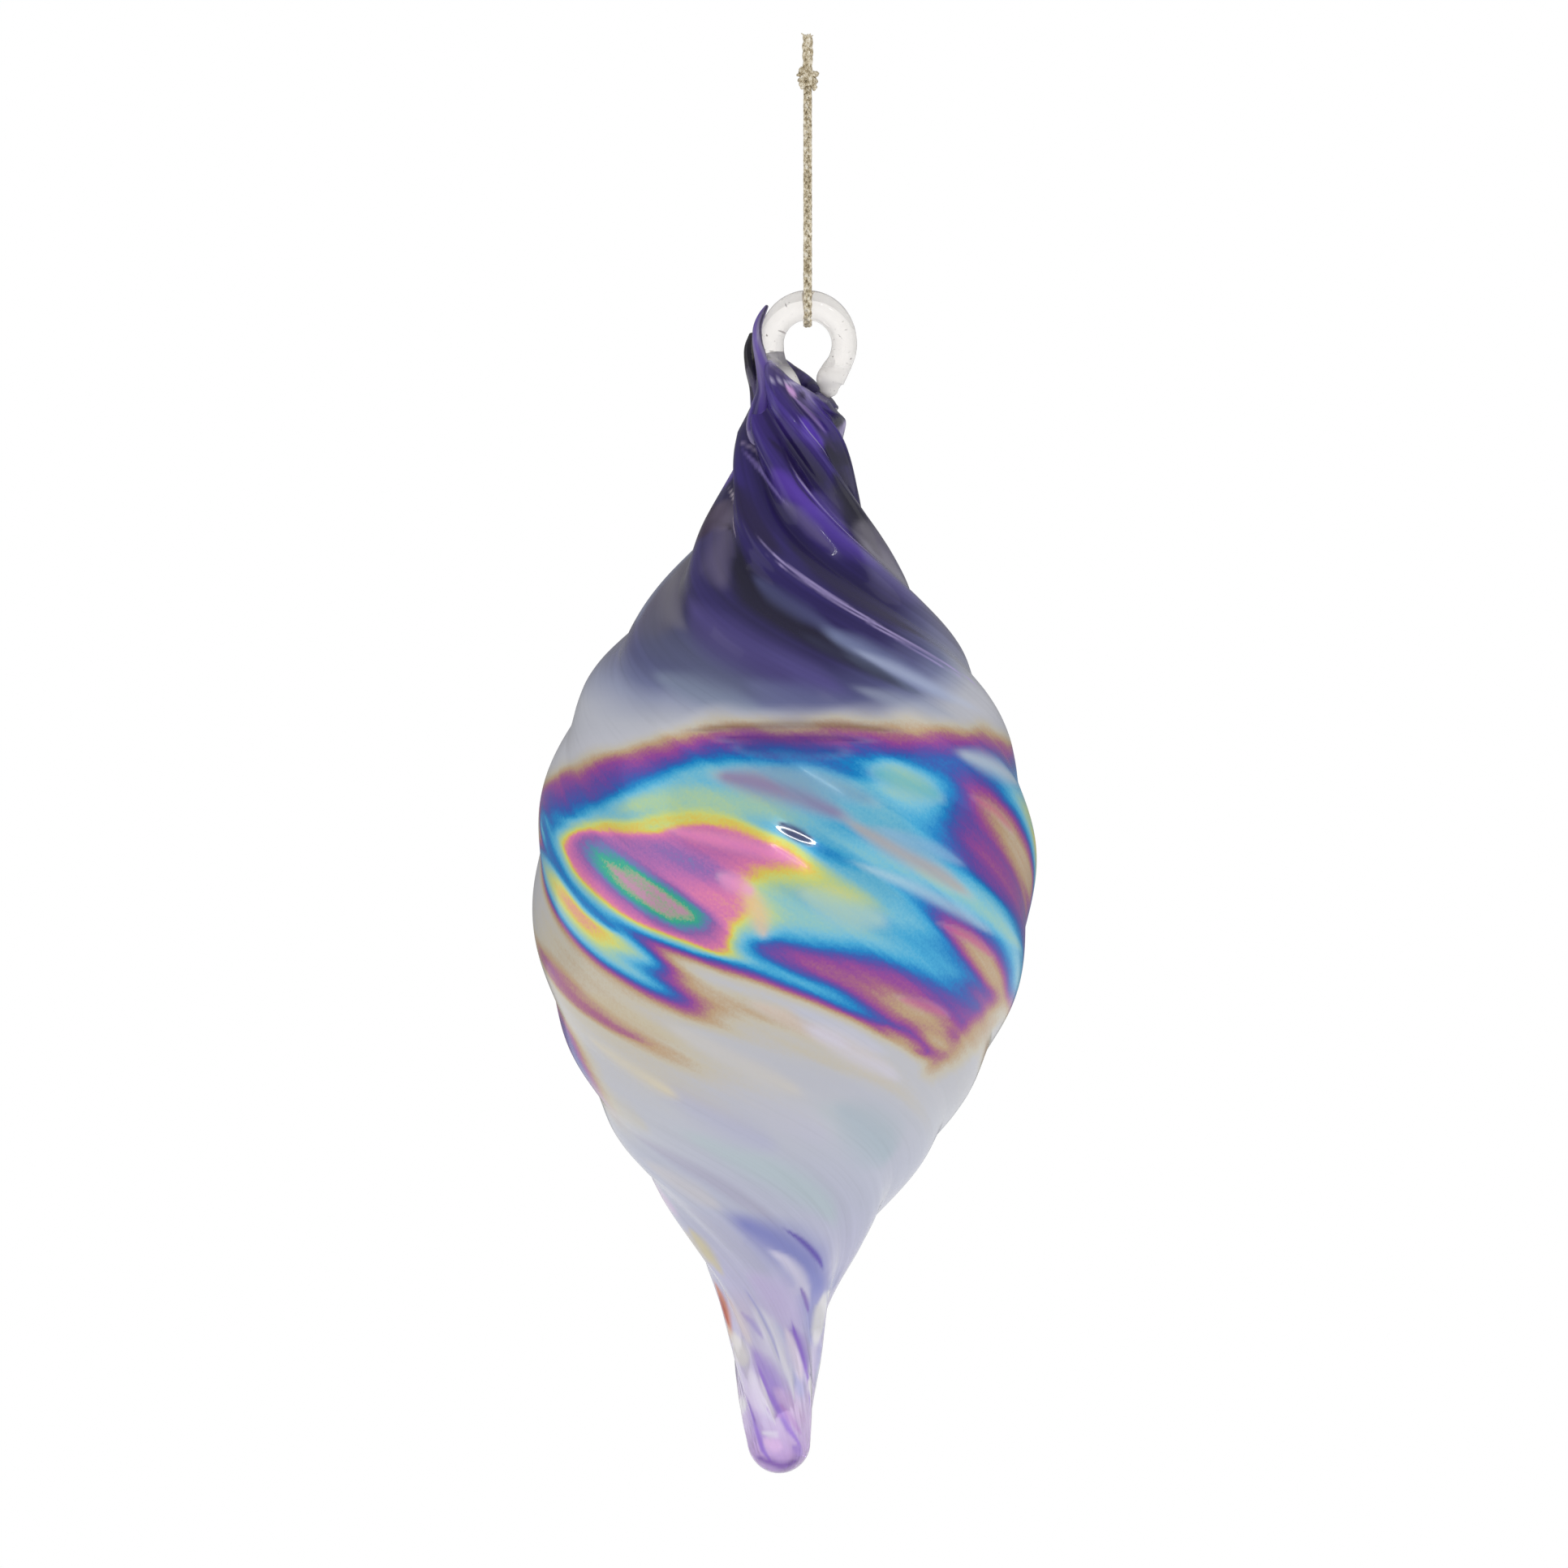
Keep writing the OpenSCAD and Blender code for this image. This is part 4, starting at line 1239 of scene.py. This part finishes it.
# The room's light on the skin, mirrored by gloss and seen through glass, and its rise and dark strips
ROOM_LIGHT = 0.86
ROOM_MIRRORED = 0.24
ROOM_THROUGH = 1.18
ROOM_RISE = 0.10
STRIP_DARK = 0.28
LAMP_AIM = (-0.0022, -0.0307, -0.094)
LAMP_BEARING = 15.5
LAMP_HEIGHT = 25.3
LAMP_TILT = -27.0
LAMP_DISTANCE = 1.2
LAMP_HALF_LONG = 0.19
LAMP_HALF_SHORT = 0.022
LAMP_HOLE = 0.79
LAMP_STRENGTH = 38.0
LAMP_SIDES = 64


def make_floor():
    """A plain pale floor some way under the hanging ornament."""
    corners = [(-1, -1), (1, -1), (1, 1), (-1, 1)]
    points = [(x * FLOOR_HALF, y * FLOOR_HALF, FLOOR_Z) for x, y in corners]
    mesh = mesh_of("floor", points, [(0, 1, 2, 3)])
    n = Nodes(bpy.data.materials.new("pale_floor"))
    n.surface(Base_Color=(0.86, 0.86, 0.86, 1), Roughness=0.7)
    mesh.materials.append(n.owner)
    link_object("floor", mesh)


def make_world():
    """White to the camera and an even soft light, with darker walls for the gloss and glass to show."""
    n = Nodes(bpy.data.worlds.new("studio"))
    bpy.context.scene.world = n.owner
    split = n.tree.nodes.new("ShaderNodeSeparateXYZ")
    n.put(n.place("Generated"), split.inputs[0])
    x, y, up = split.outputs
    strips = n.math("COSINE", n.math("MULTIPLY", n.math("ARCTAN2", x, y), 4.0))
    strip = n.math("MULTIPLY_ADD", strips, -0.5, 0.5)
    soft_light = n.math("MULTIPLY_ADD", up, ROOM_RISE, ROOM_LIGHT)
    mirrored = n.math("MULTIPLY_ADD", n.math("MULTIPLY", up, up), ROOM_RISE, ROOM_MIRRORED)
    seen_through = n.math("MULTIPLY_ADD", strip, -STRIP_DARK, ROOM_THROUGH)
    path = n.tree.nodes.new("ShaderNodeLightPath")
    room = n.choose(path.outputs["Is Glossy Ray"], soft_light, mirrored)
    room = n.choose(path.outputs["Is Transmission Ray"], room, seen_through)
    room = n.choose(path.outputs["Is Camera Ray"], room, 1.0)
    n.surface(Color=(1, 1, 1, 1), Strength=room)


def area_light(name, place, target, size, energy):
    """A soft light that faces the target."""
    data = bpy.data.lights.new(name, "AREA")
    data.shape = "RECTANGLE"
    data.size, data.size_y = size
    data.energy = energy
    lamp = bpy.data.objects.new(name, data)
    lamp.location = place
    lamp.rotation_euler = (Vector(target) - Vector(place)).to_track_quat("-Z", "Y").to_euler()
    bpy.context.scene.collection.objects.link(lamp)
    return lamp


def make_lamp_ring():
    """A long ring of light above the camera, which the glass mirrors as one small bright ring."""
    bearing, height = math.radians(LAMP_BEARING), math.radians(LAMP_HEIGHT)
    level = math.cos(height)
    out = np.array([math.sin(bearing) * level, -math.cos(bearing) * level, math.sin(height)])
    middle = np.array(LAMP_AIM) + out * LAMP_DISTANCE
    across = np.cross([0, 0, 1], out)
    across = across / np.linalg.norm(across)
    rise = np.cross(out, across)
    tilt = math.radians(LAMP_TILT)
    long_way = across * math.cos(tilt) + rise * math.sin(tilt)
    short_way = rise * math.cos(tilt) - across * math.sin(tilt)
    angle = np.linspace(0, 2 * math.pi, LAMP_SIDES, endpoint=False)
    rings = []
    for size in (1.0, LAMP_HOLE):
        x, y = np.cos(angle) * LAMP_HALF_LONG * size, np.sin(angle) * LAMP_HALF_SHORT * size
        rings.append(middle + np.outer(x, long_way) + np.outer(y, short_way))
    mesh = mesh_of("lamp_ring", np.vstack(rings), ring_faces(0, 2, LAMP_SIDES))
    n = Nodes(bpy.data.materials.new("lamp_light"))
    n.surface(Base_Color=(0, 0, 0, 1), Emission_Color=(1, 1, 1, 1), Emission_Strength=LAMP_STRENGTH)
    mesh.materials.append(n.owner)
    lamp = link_object("lamp_ring", mesh)
    lamp.visible_camera = False


def make_lights():
    """Two tall soft boxes at the sides, one above, and the ring lamp in front."""
    middle = (0, 0, -0.09)
    area_light("left_box", (-1.1, -0.35, 0.05), middle, (0.7, 1.6), 1.8)
    area_light("right_box", (1.1, -0.25, 0.05), middle, (0.7, 1.6), 1.8)
    above = area_light("top_box", (0.1, -0.6, 1.2), middle, (1.4, 1.0), 2.6)
    above.visible_glossy = False
    make_lamp_ring()
    bpy.context.scene.view_settings.view_transform = "Standard"


# ---------------------------------------------------------------- the whole scene


def make_all():
    """Camera and cord first, then the glass, then the room."""
    make_camera()
    yarn = cord_material()
    cord, centre = make_cord(yarn)
    knot = make_knot(yarn)
    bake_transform(cord)
    violet = glass_material()
    make_bulb(violet)
    make_trail(
        "glass_trail_front", FRONT_TRAIL, violet,
        [INDIGO, (60, 50, 100), VIOLET, (120, 104, 170), (150, 140, 180), (96, 84, 124)],
        [(0, 40, VIVID, 0.6), (80, 26, INK, 0.8), (170, 50, LILAC, 0.6), (-110, 34, INDIGO, 0.7)],
    )
    make_trail(
        "glass_trail_rear", REAR_TRAIL, violet,
        [INK, INDIGO, VIOLET, (80, 70, 110), (40, 38, 42), (60, 58, 60)],
        [(20, 36, INK, 0.8), (140, 40, LILAC, 0.6), (-90, 30, (60, 56, 50), 0.7)],
    )
    make_loop(clear_material())
    make_floor()
    make_world()
    make_lights()


make_all()

bpy.context.view_layer.update()
